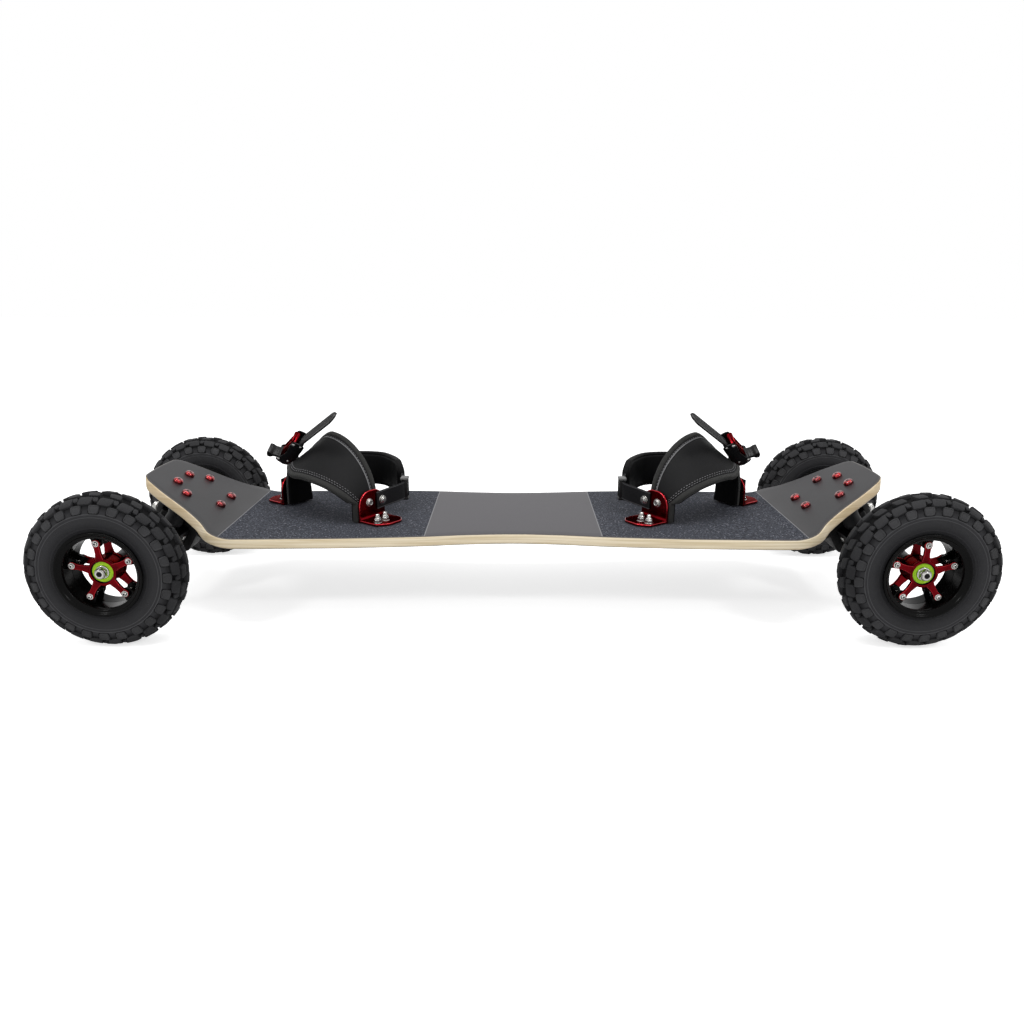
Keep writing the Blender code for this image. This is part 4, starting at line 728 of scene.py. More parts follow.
def make_truck(side):
    """Base plate, channel frame, kingpin, hanger, dampers and axle of one truck."""
    place, name, hanger_body = truck_place(side), f"truck_{side}", f"hanger_{side}"
    pin_place, across_place = place @ ALONG_X, place @ ALONG_Y

    half = [(0.0270, 0.0250), (0.0210, 0.0310), (0.0140, 0.0350), (0.0020, 0.0580), (-0.0320, 0.0580),
            (-0.0460, 0.0330), (-0.0690, 0.0310), (-0.0750, 0.0250)]
    plate = Shells().plate(mirrored(half), 0.005, PLATE_LOW, PLATE_TOP, 0.0008, place)
    seat = TIP_UNDER + DECK_THICKNESS + 0.0002
    foot = PLATE_LOW - seat - 0.0016
    for t, y in DECK_BOLTS:
        for across in (-y, y):
            spot = place @ at(t, across, seat)
            button_head(plate, spot, 0.0071, 0.0056, 0.0019, finish=2)
            plate.spun([(foot, 0.0001), (foot, 0.0029), (0.0, 0.0029)], 0.0005, 20, spot)
    plate.make(f"{name}_plate_and_bolts", [red_metal, socket_dark, red_bolt], "board", [f"{name}_base_plate"],
               "red_anodised")

    top = CHANNEL_TOP
    roof = oblong(-0.0720, -0.0240, 0.0265, 0.0240)
    channel = Shells().plate(roof, 0.004, top - 0.0060, top, 0.0010, place)
    arm = symmetric([(0.0210, top - 0.002), (0.0215, top - 0.0120), (0.0130, -0.0050), (0.0070, -0.0110)])
    for low, high in ((0.0115, 0.0205), (-0.0600, -0.0480)):
        channel.plate(arm, 0.004, low, high, 0.0012, pin_place)
    for along in (-0.030, -0.012, 0.004):
        rib = oblong(along - 0.002, -0.0225, along + 0.002, 0.0225)
        channel.plate(rib, 0.001, top - 0.0072, top - 0.005, 0.0004, place)
    channel.make(f"{name}_channel", [cast_black], "board", [f"{name}_frame"], "black_metal")

    rod = [(-0.0605, 0.0001), (-0.0605, 0.0049), (0.0298, 0.0049), (0.0302, 0.0040), (0.0302, 0.0001)]
    pin = Shells().spun(rod, 0.0004, 32, pin_place)
    for low, high, edge in ((-0.0658, -0.0603, 0.0008), (0.0218, 0.0262, 0.0006)):
        pin.plate(hexagon(0.0128), 0.0009, low, high, edge, pin_place)
    pin.spun(tube(0.0208, 0.0050, 0.0218, 0.0072), 0.0003, 40, pin_place, ring=True)
    collar = [(0.0258, 0.0050), (0.0258, 0.0061), (0.0273, 0.0058), (0.0273, 0.0050)]
    pin.spun(collar, 0.0004, 40, pin_place, ring=True)
    pin.make(f"{name}_kingpin_set", [steel], "board", [f"{name}_kingpin"], "steel")

    block = [(-0.0477, -0.0290), (-0.0437, -0.0330), (0.0012, -0.0350), (0.0112, -0.0230), (0.0112, 0.0100),
             (-0.0477, 0.0100)]
    hanger = Shells().plate(block, 0.003, -0.0240, 0.0240, 0.0020, across_place)
    wing = [(-0.0360, -0.0270), (-0.0320, -0.0310), (0.0020, -0.0310), (0.0060, -0.0250), (0.0060, 0.0030),
            (-0.0360, 0.0030)]
    hanger.plate(wing, 0.0025, -0.0580, 0.0580, 0.0020, across_place)
    axle = place @ at(0, 0, -AXLE_DROP) @ ALONG_Y
    arms = [(-0.1500, 0.0070), (-0.1500, 0.0090), (-0.1380, 0.0096), (-0.0760, 0.0138), (-0.0700, 0.0140)]
    hanger.spun(symmetric(arms), 0.003, 40, axle)
    boss = np.array(tube(0.1400, 0.0070, 0.1498, 0.0097))
    for sign in (-1, 1):
        hanger.spun(boss * (sign, 1), 0.0008, 40, axle, ring=True)
    hanger.make(f"{name}_hanger_casting", [cast_black], hanger_body, [f"{name}_hanger"], "black_metal")
    screws = Shells()
    for y in (-0.040, 0.040):
        for n in (-0.0060, -0.0170):
            face = axes((-0.0360, y, n), (0, 1, 0), (0, 0, -1), (-1, 0, 0))
            button_head(screws, place @ face, 0.0040, 0.0029, 0.0015, steps=24)
    screws.make(f"{name}_clamp_screws", [steel, dark_steel_and_socket_shade], hanger_body, (), "steel")

    half = [(0.1503, 0.0058), (0.1503, 0.0088), (0.1669, 0.0088), (0.1669, 0.0056), (0.2020, 0.0056),
            (0.2025, 0.0048), (0.2025, 0.0034), (0.1965, 0.0030), (0.1965, 0.0001)]
    shaft = Shells().spun([(-z, r) for z, r in reversed(half)] + half, 0.0004, 36, axle)
    # A dark hexagon at each end of the axle paints the shade inside its hollow end.
    for sign in (-1, 1):
        shaft.plate(hexagon(0.0060), 0.0003, *sorted((0.1990 * sign, 0.20255 * sign)), 0.0001, axle, 1)
    shaft.make(f"{name}_axle_shaft", [steel, axle_hollow_shade], hanger_body, [f"{name}_axle"], "steel")

    low, high = 0.0033, CHANNEL_TOP
    tall = high - low
    barrel = through([(low, 0.0), (low, 0.0060), (low + 0.02 * tall, 0.0100), (low + 0.22 * tall, 0.0127),
                      (low + 0.5 * tall, 0.0119), (low + 0.78 * tall, 0.0127), (high - 0.02 * tall, 0.0100),
                      (high, 0.0060), (high, 0.0)], 60)
    barrel = np.clip(barrel, (low, 0.0001), (high, 0.0128))
    for where in ENDS:
        y = DAMPER_Y if (where == "far") == (side == "left") else -DAMPER_Y
        damper = Shells().add(turned(barrel, 40), place @ at(DAMPER_X, y, 0))
        made = damper.make(f"{name}_barrel_{where}", [elastomer], None, [f"{name}_damper_{where}"], "damper")
        foot, seat = (tuple(lift(place, np.array([DAMPER_X, y, n]))) for n in (low + 0.0005, high - 0.0005))
        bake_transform(made)


for side in SIDES:
    make_truck(side)


# Wheels, in a frame with z outward along the axle. Each wheel's body has the wheel's name.


def wheel_place(side, where):
    x = -HALF_BASE if side == "left" else HALF_BASE
    if where == "near":
        return axes((x, -HALF_TRACK, TYRE_RADIUS), (1, 0, 0), (0, 0, 1), (0, -1, 0))
    return axes((x, HALF_TRACK, TYRE_RADIUS), (1, 0, 0), (0, 0, -1), (0, 1, 0))


def star_places(place, phase):
    """The wheel's frame turned to each arm of its star."""
    return [place @ turn_z(phase + math.tau * k / STAR_ARMS) for k in range(STAR_ARMS)]


LUGS = 24
LUG_SINK = 0.0012
TURNS = 192
CARCASS = through([(0.0, 0.0953), (0.0070, 0.0949), (0.0140, 0.0925), (0.0188, 0.0885), (0.0219, 0.0833),
                   (0.0233, 0.0772), (0.0238, 0.0710), (0.0236, 0.0650), (0.0229, 0.0595), (0.0219, 0.0545)], 90)
CARCASS_RUN = run_along(CARCASS)


def carcass(run):
    """(w, r) on the tyre's outside at a distance along it from the crown, and the unit normal there."""
    sign, run, step = np.sign(run) + (run == 0), np.abs(run), 0.0006
    spots = (run, run + step, np.maximum(run - step, 0.0))
    (w, r), ahead, behind = ([np.interp(s, CARCASS_RUN, CARCASS[:, k]) for k in range(2)] for s in spots)
    tw, tr = ahead[0] - behind[0], ahead[1] - behind[1]
    length = np.hypot(tw, tr)
    return w * sign, r, -tr / length * sign, tw / length


def tyre_body():
    """The carcass with fine sidewall rings, bell curves of the radius, and with beads and cavity inside."""
    w, r = CARCASS.T
    rings = ((0.0005, 0.0772, 0.0006), (0.0004, 0.0752, 0.0005), (0.0005, 0.0588, 0.0007),
             (-0.0003, 0.0608, 0.0006))
    proud = sum(height * np.exp(-(((r - middle) / spread) ** 2)) for height, middle, spread in rings)
    inner = np.array([(0.0216, 0.0520), (0.0214, 0.0485), (0.0160, 0.0485), (0.0172, 0.0600), (0.0180, 0.0720),
                      (0.0150, 0.0840), (0.0080, 0.0895), (0.0, 0.0910)])
    half = np.concatenate([np.stack([w + proud, r], 1), inner])
    whole = np.concatenate([half, (half[1:-1] * (-1, 1))[::-1]])
    # Faces out beyond this radius, between the blocks, take the darker groove rubber as painted shade.
    groove_shade_faces = np.minimum(whole[:, 1], np.roll(whole[:, 1], -1)) > 0.0870
    skin = np.broadcast_to(whole[:, None], (len(whole), TURNS, 2))
    return turned(whole, TURNS), np.repeat(groove_shade_faces.astype(int), TURNS).tolist(), skin


# Rings of a tread block: share of its outline, of its height, and of the depth that it is sunk by
TRAY = ((1.20, 0.0, -1.0), (1.20, 0.0, 0.2), (1.05, 0.0, 0.2), (0.98, 0.75, 0.0), (0.92, 1.0, 0.0),
        (0.76, 1.0, 0.0), (0.68, 0.70, 0.0), (0.30, 0.66, 0.0))
PLAIN = ((1.16, 0.0, -1.0), (1.14, 0.0, 0.2), (1.05, 0.0, 0.2), (0.98, 0.80, 0.0), (0.92, 0.97, 0.0),
         (0.82, 1.0, 0.0), (0.35, 1.0, 0.0))


def lug(run, turn, long, wide, height, skew, taper, rings):
    """One tread block as rings of a rounded box on the carcass, about (run, turn). They go from sunk in the
    rubber, up its drafted sides, to its top, which is flat or sunk like a tray."""
    corners = [(-long / 2, -wide / 2 * (1 + taper)), (long / 2, -wide / 2 * (1 - taper)),
               (long / 2, wide / 2 * (1 - taper)), (-long / 2, wide / 2 * (1 + taper))]
    outline = rounded(corners, min(long, wide) * 0.24, 2)
    made = []
    for share, up, under in rings:
        s = run + outline[:, 0] * share
        a = turn + (outline[:, 1] * share + skew * outline[:, 0] * share) / 0.09
        w, r, nw, nr = carcass(s)
        level = height * up + LUG_SINK * under
        w, r = w + nw * level, np.minimum(r + nr * level, TYRE_RADIUS - 0.0001)
        made.append(np.stack([r * np.cos(a), r * np.sin(a), w], -1))
    return np.array(made)


def make_tyre(name, place, phase):
    """The tyre: tray-topped blocks round each sidewall's edge, chunky shoulder blocks with a small one between
    them, and a zigzag of crown blocks, all LUGS to a turn."""
    body_grid, groove_shade_faces, skin = tyre_body()
    shells = Shells().add(body_grid, place, loop_rows=True, finish=groove_shade_faces, skin=skin)
    pitch = math.tau / LUGS

    def block(run, turn, long, wide, height, skew, taper=0.0, rings=PLAIN, top=2):
        grid = lug(run, turn, long, wide, height, skew, taper, rings)
        around = grid.shape[1]
        # The bands round each block's foot and its sunk cap take finish 1, the darker groove rubber, as painted
        # shade.
        finish = [1] * (2 * around) + [top] * ((len(grid) - 3) * around) + [1, top]
        shells.add(grid, place, finish=finish)

    for k in range(LUGS):
        for side in (-1, 1):
            angle = phase + (k + 0.25 * side) * pitch
            block(side * 0.0264, angle, 0.0104, 0.0134, 0.0018, 0.06 * side, 0.06 * side, TRAY, 3)
            block(side * 0.0168, angle + 0.47 * pitch, 0.0096, 0.0166, 0.0040, 0.22 * side)
            block(side * 0.0150, angle - 0.02 * pitch, 0.0060, 0.0060, 0.0036, -0.30 * side)
            block(side * 0.0060, angle + 0.18 * pitch, 0.0090, 0.0132, 0.0046, -0.35 * side)
    finishes = [rubber, groove_shade_rubber, tread_rubber, tray_rubber]
    shells.make(f"{name}_tyre_tread", finishes, name, [f"{name}_tyre"], "rubber", crease=32.0, skin=True)


def make_rim_half(name, half, place, phase):
    """A rim half: barrel, rolled lip and an ear for each arm of the star."""
    sign = 1.0 if half == "outer" else -1.0
    profile = rounded([(0.0002, 0.0455), (0.0190, 0.0455), (0.0222, 0.0462), (0.0240, 0.0502), (0.0262, 0.0520),
                       (0.0262, 0.0545), (0.0247, 0.0551), (0.0222, 0.0546), (0.0222, 0.0480), (0.0002, 0.0480)],
                      (0.0003, 0.003, 0.002, 0.001, 0.0014, 0.0012, 0.0012, 0.0006, 0.0012, 0.0003), 5)
    shells = Shells().add(turned(profile * (sign, 1.0), 128), place, loop_rows=True)
    edge = rounded([(0.0466, -0.0085), (0.0466, 0.0085)], 1e-4)
    ear = np.concatenate([arc(SCREW_CIRCLE, 0.0, 0.0062, 92, 268, 12), edge])
    for spot in star_places(place, phase):
        shells.add(slab(ear, 0.0065 * sign, 0.0105 * sign, 0.0005 * sign), spot)
    shells.make(f"{name}_rim_{half}_half", [gloss_black], name, [f"{name}_rim_{half}"], "black_metal")


STAR_FACE = 0.0148
STAR_BACK = 0.0108


def make_hub(name, place, phase):
    """The red spool with a five-armed star at each face, and the bright screws that clamp the rim."""
    spool = [(STAR_FACE, 0.0143), (STAR_FACE, 0.0178), (STAR_BACK - 0.001, 0.0178), (STAR_BACK - 0.003, 0.0165),
             (0.0, 0.0165)]
    half = rounded(spool, (0.0004, 0.0009, 0.001, 0.001, 0.001), closed=False)
    bore = [(-0.0045, 0.0143), (-0.0045, 0.0075), (0.0045, 0.0075), (0.0045, 0.0143)]
    whole = np.concatenate([half, (half[:-1] * (-1, 1))[::-1], bore])
    hub = Shells().add(turned(whole, 96), place, loop_rows=True)
    arm = [(0.0318, 0.0036), (0.0250, 0.0036), (0.0160, 0.0052), (0.0160, -0.0052), (0.0250, -0.0036),
           (0.0318, -0.0036)]
    arm = np.concatenate([arc(SCREW_CIRCLE, 0.0, 0.0050, -100, 100, 12), arm])
    washer = rounded(tube(0.0, 0.0012, 0.0005, 0.0040), 0.0002)
    screws = Shells()
    for spot in star_places(place, phase):
        for sign in (1.0, -1.0):
            edged(hub, arm, STAR_BACK * sign, STAR_FACE * sign, 0.0006 * sign, spot)
        head, middle = spot @ at(SCREW_CIRCLE, 0.0, STAR_FACE), spot @ at(SCREW_CIRCLE)
        screws.add(turned(washer, 28), head)
        button_head(screws, head @ at(0, 0, 0.0004), 0.0030, 0.0023, 0.0012, steps=24)
        shank = tube(-STAR_FACE, 0.0001, -0.0002, 0.0022)
        screws.spun(shank, 0.0002, 20, middle)
        screws.plate(hexagon(0.0064), 0.0006, -0.0178, -STAR_FACE, 0.0004, middle)
    hub.make(f"{name}_spool_and_stars", [red_metal, red_edge_highlight], name, [f"{name}_hub"], "red_anodised")
    screws.make(f"{name}_rim_screws", [steel, dark_steel_and_socket_shade], name, (), "steel")


def make_bearing(name, where, place):
    """A sealed bearing: outer race, lime seal with a shallow ring in it, inner race."""
    sign = 1.0 if where == "outer" else -1.0
    seal = [(0.0052, 0.0081), (0.0124, 0.0081), (0.0127, 0.0092), (0.0122, 0.0100), (0.0122, 0.0118),
            (0.0127, 0.0126), (0.0124, 0.0134), (0.0052, 0.0134)]
    parts = ((oblong(0.0048, 0.0133, 0.0128, 0.0140), 0.0002), (seal, 0.0006),
             (oblong(0.0048, 0.0061, 0.0128, 0.0082), 0.0003))
    shells = Shells()
    for k, (profile, radius) in enumerate(parts):
        shells.spun(np.array(profile) * (sign, 1.0), radius, 64, place, ring=True, finish=k)
    shells.make(f"{name}_sealed_bearing_{where}", [dark_steel_and_socket_shade, lime, dark_steel_and_socket_shade], name,
                [f"{name}_bearing_{where}"], "lime_seal")


def make_axle_nut(name, place, body):
    """A flanged lock nut with chamfered corners and a crown with a nylon ring sunk in it."""
    flange = [(0.0131, 0.0060), (0.0131, 0.0088), (0.0143, 0.0086), (0.0149, 0.0078), (0.0149, 0.0060)]
    crown = [(0.0185, 0.0058), (0.0185, 0.0070), (0.0205, 0.0068), (0.0215, 0.0062), (0.0215, 0.0057)]
    shells = Shells().spun(flange, 0.0004, 48, place, ring=True)
    shells.plate(hexagon(0.0140), 0.0011, 0.0143, 0.0192, 0.0009, place)
    shells.spun(crown, 0.0006, 48, place, ring=True)
    shells.make(f"{name}_lock_nut", [steel], body, [f"{name}_axle_nut"], "steel")


for side in SIDES:
    for where in ENDS:
        name, place = f"wheel_{side}_{where}", wheel_place(side, where)
        phase = math.radians(STAR_PHASE[(side, where)])
        make_tyre(name, place, phase)
        for half in ("outer", "inner"):
            make_rim_half(name, half, place, phase)
            make_bearing(name, half, place)
        make_hub(name, place, phase)
        make_axle_nut(name, place, f"hanger_{side}")


# Bindings, in a frame on the deck: x from the far foot to the near foot, y from toe to heel, z up


def binding_place(side):
    """The left binding's frame; the right one is its mirror image in x."""
    hand = 1.0 if side == "left" else -1.0
    place = at(-BINDING_X * hand, BINDING_Y, float(deck_height(BINDING_X))) @ turn_z(-STANCE * hand)
    return place @ np.diag([hand, 1.0, 1.0, 1.0])


def deck_under(place, x, y):
    spot = lift(place, np.array([x, y, 0.0]))
    return float(deck_height(spot[0]) - deck_height(BINDING_X))


BRACKETS = {
    "near": {"x": 0.0902, "ys": (-0.0242, 0.0251), "bolt": 0.0174, "feet": (0.0263, (-0.0165, -0.0020))},
    "far": {"x": 0.0717, "ys": (-0.0235, 0.0258), "bolt": -0.0100, "feet": (0.0165, (-0.0060, 0.0126))},
}
BOLT_HEIGHT = 0.0273
THICK = 0.0035
BRACKET_REACH = 0.0458
CHAMFER = 0.0106
FLANGE_CORNER = 0.0210
FLANGE_TOP = 0.0440
FILLET = 0.0042


def acorn(shells, place, flats, height, stud):
    """A lock nut on a wide washer: hexagon, round collar, and the thread of its stud standing out of it."""
    washer = rounded(tube(0.0, 0.0030, 0.0010, flats * 0.66), 0.0003)
    shells.add(turned(washer, 36), place)
    shells.plate(hexagon(flats), flats * 0.08, 0.0009, height * 0.70, 0.0007, place)
    collar = rounded([(height * 0.6, 0.0026), (height * 0.6, flats * 0.48), (height * 0.92, flats * 0.46),
                      (height, flats * 0.40), (height, 0.0026)], 0.0006)
    shells.add(turned(collar, 28), place)
    if stud:
        z = np.linspace(height * 0.8, height + stud - 0.0006, 40)
        ridges = np.stack([z, 0.0027 + 0.00015 * np.cos(z / 0.0008 * math.tau)], 1)
        end = [(height + stud, 0.0021), (height + stud, 0.0001)]
        shells.add(turned(np.concatenate([[(z[0], 0.0001)], ridges, end]), 28), place)


def make_bracket(side, where):
    """A bent plate: the foot plate's chamfered outline meets an upright flange with two round corners."""
    place = binding_place(side)
    bracket = BRACKETS[where]
    sign = 1.0 if where == "near" else -1.0
    inner, (low, high) = bracket["x"], bracket["ys"]
    end, face = inner + BRACKET_REACH, inner + THICK
    corners = [(inner, low), (end - CHAMFER, low), (end, low + 1.4 * CHAMFER), (end, high - CHAMFER),
               (end - CHAMFER, high), (inner, high)]
    base = max(deck_under(place, x * sign, y) for x, y in corners) + FIT
    level = base + THICK
    foot = rounded([(x * sign, y) for x, y in corners], (1e-4, 0.004, 0.004, 0.004, 0.004, 1e-4))
    red = edged(Shells(), foot, base, level, 0.0011, place)
    r, top = FLANGE_CORNER, FLANGE_TOP
    flange = np.concatenate([[(low, base), (high, base)], arc(high - r, top - r, r, 0, 90, 18),
                             arc(low + r, top - r, r, 90, 180, 18)])
    edged(red, flange, *sorted((inner * sign, face * sign)), 0.0011, place @ ALONG_X)
    curve = arc(face + FILLET, level + FILLET, FILLET, 270, 180, 8)
    fillet = np.concatenate([curve, [(face - 0.0008, level + 0.0040), (face - 0.0008, level - 0.0008),
                                     (face + 0.0040, level - 0.0008)]])
    across = axes((0, 0, 0), (sign, 0, 0), (0, 0, 1), (0, 1, 0))
    red.add(slab(fillet, low + FIT, high - FIT, 0.0002), place @ across)
    red.make(f"binding_{side}_plate_{where}", [red_metal, red_edge_highlight], "board",
             [f"binding_{side}_bracket_{where}"], "red_anodised")

    bolts = Shells()
    reach, ys = bracket["feet"]
    x = (face + reach) * sign
    for y in ys:
        acorn(bolts, place @ at(x, y, level), 0.0094, 0.0078, 0.0047)
        around = [(x + dx, y + dy) for dx in (-0.007, 0.007) for dy in (-0.007, 0.007)]
        under = min(deck_under(place, *point) for point in around) - DECK_THICKNESS - FIT
        dome = place @ axes((x, y, under), (1, 0, 0), (0, -1, 0), (0, 0, -1))
        button_head(bolts, dome, 0.0064, 0.0025, 0.0022)
    spot = ((face + 0.0026) * sign, bracket["bolt"], BOLT_HEIGHT)
    head = place @ axes(spot, (0, sign, 0), (0, 0, 1), (sign, 0, 0))
    shank = [(-0.0060, 0.0001), (-0.0060, 0.0028), (0.0, 0.0028), (0.0, 0.0062), (0.0008, 0.0062),
             (0.0008, 0.0001)]
    bolts.spun(shank, 0.0003, 36, head)
    bolts.plate(hexagon(0.0098), 0.0008, 0.0006, 0.0036, 0.0006, head)
    bolts.spun([(0.0030, 0.0001), (0.0030, 0.0036), (0.0044, 0.0030), (0.0044, 0.0001)], 0.0006, 24, head)
    if where == "near":
        pad_bolt = place @ axes((face, -0.0058, BOLT_HEIGHT), (0, 1, 0), (0, 0, 1), (1, 0, 0))
        acorn(bolts, pad_bolt, 0.0092, 0.0042, 0.0)
    bolts.make(f"binding_{side}_bolts_{where}", [steel, dark_steel_and_socket_shade], "board", (), "steel")


PAD_LEG = 0.12
PAD_BASE = 0.0293
PAD_FOOT = 0.0025
PAD_HEIGHT = 0.0866
PAD_TOE_HEIGHT = 0.0315
PAD_NEAR_X = 0.0899
PAD_FAR_X = 0.0678
PAD_NEAR_POWER = 1.065
PAD_FAR_POWER = 1.3
PAD_THICK = 0.0085
PAD_RISE = 0.0012
STITCH = 0.0032
STITCH_GAP = 0.0014
THREAD = 0.0005


def pad_surface(share, across):
    """A point on the foot pad's outside. share runs from the near foot over the arch to the far foot: x and
    height go as powers of a cosine and a sine, and the toe rim draws back on the far half."""
    angle = math.pi * np.clip((share - PAD_LEG) / (1 - 2 * PAD_LEG), 0.0, 1.0)
    sunk = np.maximum(1 - share / PAD_LEG, 0.0) + np.maximum(1 - (1 - share) / PAD_LEG, 0.0)
    near = angle < math.pi / 2
    sine = np.clip(np.sin(angle), 0.0, 1.0)
    out = np.maximum(-np.cos(angle), 0.0) ** PAD_FAR_POWER
    x = np.where(near, PAD_NEAR_X * np.maximum(np.cos(angle), 0.0) ** PAD_NEAR_POWER, -PAD_FAR_X * out)
    raised = np.where(near, sine**PAD_NEAR_POWER, sine**PAD_FAR_POWER)
    full = np.where(near, 1.0, np.exp(-((out / 0.72) ** 3)))
    toe_y = np.where(near, -0.0282 - 0.0252 * raised**0.62, -0.0175 + (-0.0534 + 0.0175) * full)
    base = PAD_BASE - sunk * (PAD_BASE - PAD_FOOT)
    toe_height = PAD_HEIGHT + (PAD_TOE_HEIGHT - PAD_HEIGHT) * full
    heel = np.stack([x, 0.0152 + 0.0091 * share**2, base + PAD_HEIGHT * raised], -1)
    toe = np.stack([x, toe_y, base + toe_height * raised], -1)
    return heel + (toe - heel) * across[..., None]


def pad_frame(share, across):
    """The pad's surface and its outward normal."""
    step = 0.004
    ahead, behind = np.minimum(share + step, 1), np.maximum(share - step, 0)
    along = pad_surface(ahead, across) - pad_surface(behind, across)
    over = pad_surface(share, np.minimum(across + step, 1)) - pad_surface(share, np.maximum(across - step, 0))
    return pad_surface(share, across), unit(np.cross(along, over))


def stitches(shells, path, normal, place):
    """Short rounded threads laid end to end along the path, each a stack of rings tapered at both ends."""
    fine, run = even(path, STITCH + STITCH_GAP)
    up = np.stack([np.interp(run, run_along(path), normal[:, k]) for k in range(3)], 1)
    taper = np.array([0.05, 0.8, 1.0, 0.8, 0.05])
    a = np.arange(6) * math.tau / 6
    for start, end, rise in zip(fine[:-1], fine[1:], up[:-1]):
        along = unit(end - start)
        side = unit(np.cross(along, rise))
        high = np.cross(side, along)
        centre = start + along * np.linspace(0, STITCH, 5)[:, None] + high * (taper[:, None] - 0.6) * THREAD
        ring = side * np.cos(a)[:, None] + high * np.sin(a)[:, None]
        shells.add(centre[:, None] + ring * (taper * THREAD)[:, None, None], place)


def make_foot_pad(side):
    """The foot pad: a soft panel between two bound rims, with a row of stitches and a piping bead by the heel
    rim and two rows of stitches by the toe rim."""
    place = binding_place(side)
    share = np.linspace(0.0, 1.0, 161)
    heel_rim, toe_rim = (pad_surface(share, np.full_like(share, end)) for end in (0.0, 1.0))
    width = np.linalg.norm(toe_rim - heel_rim, axis=-1)
    low = -PAD_THICK - PAD_RISE
    rim = [(0.0000, low * 0.62), (0.0000, low * 0.30), (0.0006, low * 0.12), (0.0016, low * 0.03),
           (0.0030, 0.0), (0.0056, 0.0), (0.0066, -0.0003), (0.0071, -0.0010), (0.0075, -0.0014)]
    back = [(0.0030, low), (0.0014, low * 0.96), (0.0004, low * 0.84)]
    columns = [(offset / width, depth) for offset, depth in rim]
    for k in np.linspace(0.0, 1.0, 25)[1:-1]:
        puff = (PAD_RISE + 0.0008) * min(1.0, (4 * k * (1 - k)) ** 0.5 * 1.05)
        columns.append(((0.0082 + (width - 0.0164) * k) / width, -0.0018 + puff * 0.95))
    columns += [(1 - offset / width, depth) for offset, depth in reversed(rim)]
    outer = len(columns)
    columns += [(1 - offset / width, depth) for offset, depth in reversed(back)]
    columns += [(np.full_like(share, 0.03 + 0.94 * k), low) for k in np.linspace(1.0, 0.0, 9)[1:-1]]
    columns += [(offset / width, depth) for offset, depth in back]
    across = np.stack([c[0] for c in columns], 1)
    depth = np.array([c[1] for c in columns])
    spot, normal = pad_frame(np.broadcast_to(share[:, None], across.shape), across)
    run = run_along(spot[:, 16])
    skin = np.stack([np.broadcast_to(run[:, None], across.shape), across * width[:, None]], -1)
    bands = np.zeros(len(columns), int)
    bands[: len(rim) - 1] = 1
    bands[outer - len(rim): outer] = 1
    bands[outer - 1:] = 2
    bands[-1] = 1
    finish = np.tile(bands, len(share) - 1).tolist() + [2, 2]
    shells = Shells().add(spot + normal * depth[None, :, None], place, finish=finish, skin=skin)
    pad = shells.make(f"binding_{side}_padded_strap", [pad_face, pad_band, pad_lining], "board",
                      [f"binding_{side}_foot_pad"], "padding", crease=60.0, skin=True)

    seams = Shells()
    part = np.linspace(0.07, 0.93, 240)
    wide = np.interp(part, share, width)
    for row in (0.0106 / wide, 1 - 0.0100 / wide, 1 - 0.0132 / wide):
        spot, normal = pad_frame(part, row)
        stitches(seams, spot + normal * -0.0006, normal, place)
    spot, normal = pad_frame(part, 0.0126 / wide)
    a = np.arange(8) * math.tau / 8
    bead = np.stack([np.cos(a), np.sin(a)], 1) * 0.0009
    seams.add(swept(spot + normal * -0.0006, bead, normal), place, finish=1)
    seams.make(f"binding_{side}_pad_stitching", [thread, piping], "board", (), "padding")


def ratchet_place():
    """x along the ladder strap to its free end, y out from the foot, z from toe to heel, leaning with the pad."""
    c, s = math.cos(RATCHET_SLOPE), math.sin(RATCHET_SLOPE)
    out, across = np.array([-s, 0.0, c]), np.array([0.0, 1.0, 0.0])
    tilt_c, tilt_s = math.cos(RATCHET_TILT), math.sin(RATCHET_TILT)
    return axes(RATCHET_SPOT, (c, 0.0, s), out * tilt_c - across * tilt_s, across * tilt_c + out * tilt_s)


LADDER_HALF = 0.0110
LADDER_PITCH = 0.0024
LADDER_BEND = 0.0120


def ladder_line():
    """The ladder strap's middle line: straight up inside the far flange, over a bend, straight to its end."""
    along, _, across, origin = ratchet_place()[:3].T
    rise = unit(np.array([0.0, 0.0, 1.0]) - across * across[2])
    lean = rise[0] / rise[2]
    reach = LADDER_FOOT_X - origin[0] + lean * (origin[2] - TWIST_END)
    corner = origin + along * reach / (along[0] - lean * along[2])
    turn = math.acos(float(rise @ along))
    start = corner - rise * (corner[2] - TWIST_END) / rise[2]
    sideways = unit(along - rise * (along @ rise))
    r = LADDER_BEND
    a = turn * np.linspace(0.0, 1.0, 16)[:, None]
    bend = corner - rise * r * math.tan(turn / 2) + r * (rise * np.sin(a) + sideways * (1 - np.cos(a)))
    foot = [(LADDER_FOOT_X, start[1], z) for z in (0.0080, TWIST_START)]
    return np.concatenate([foot, [start], bend, [origin + along * 0.1090]])


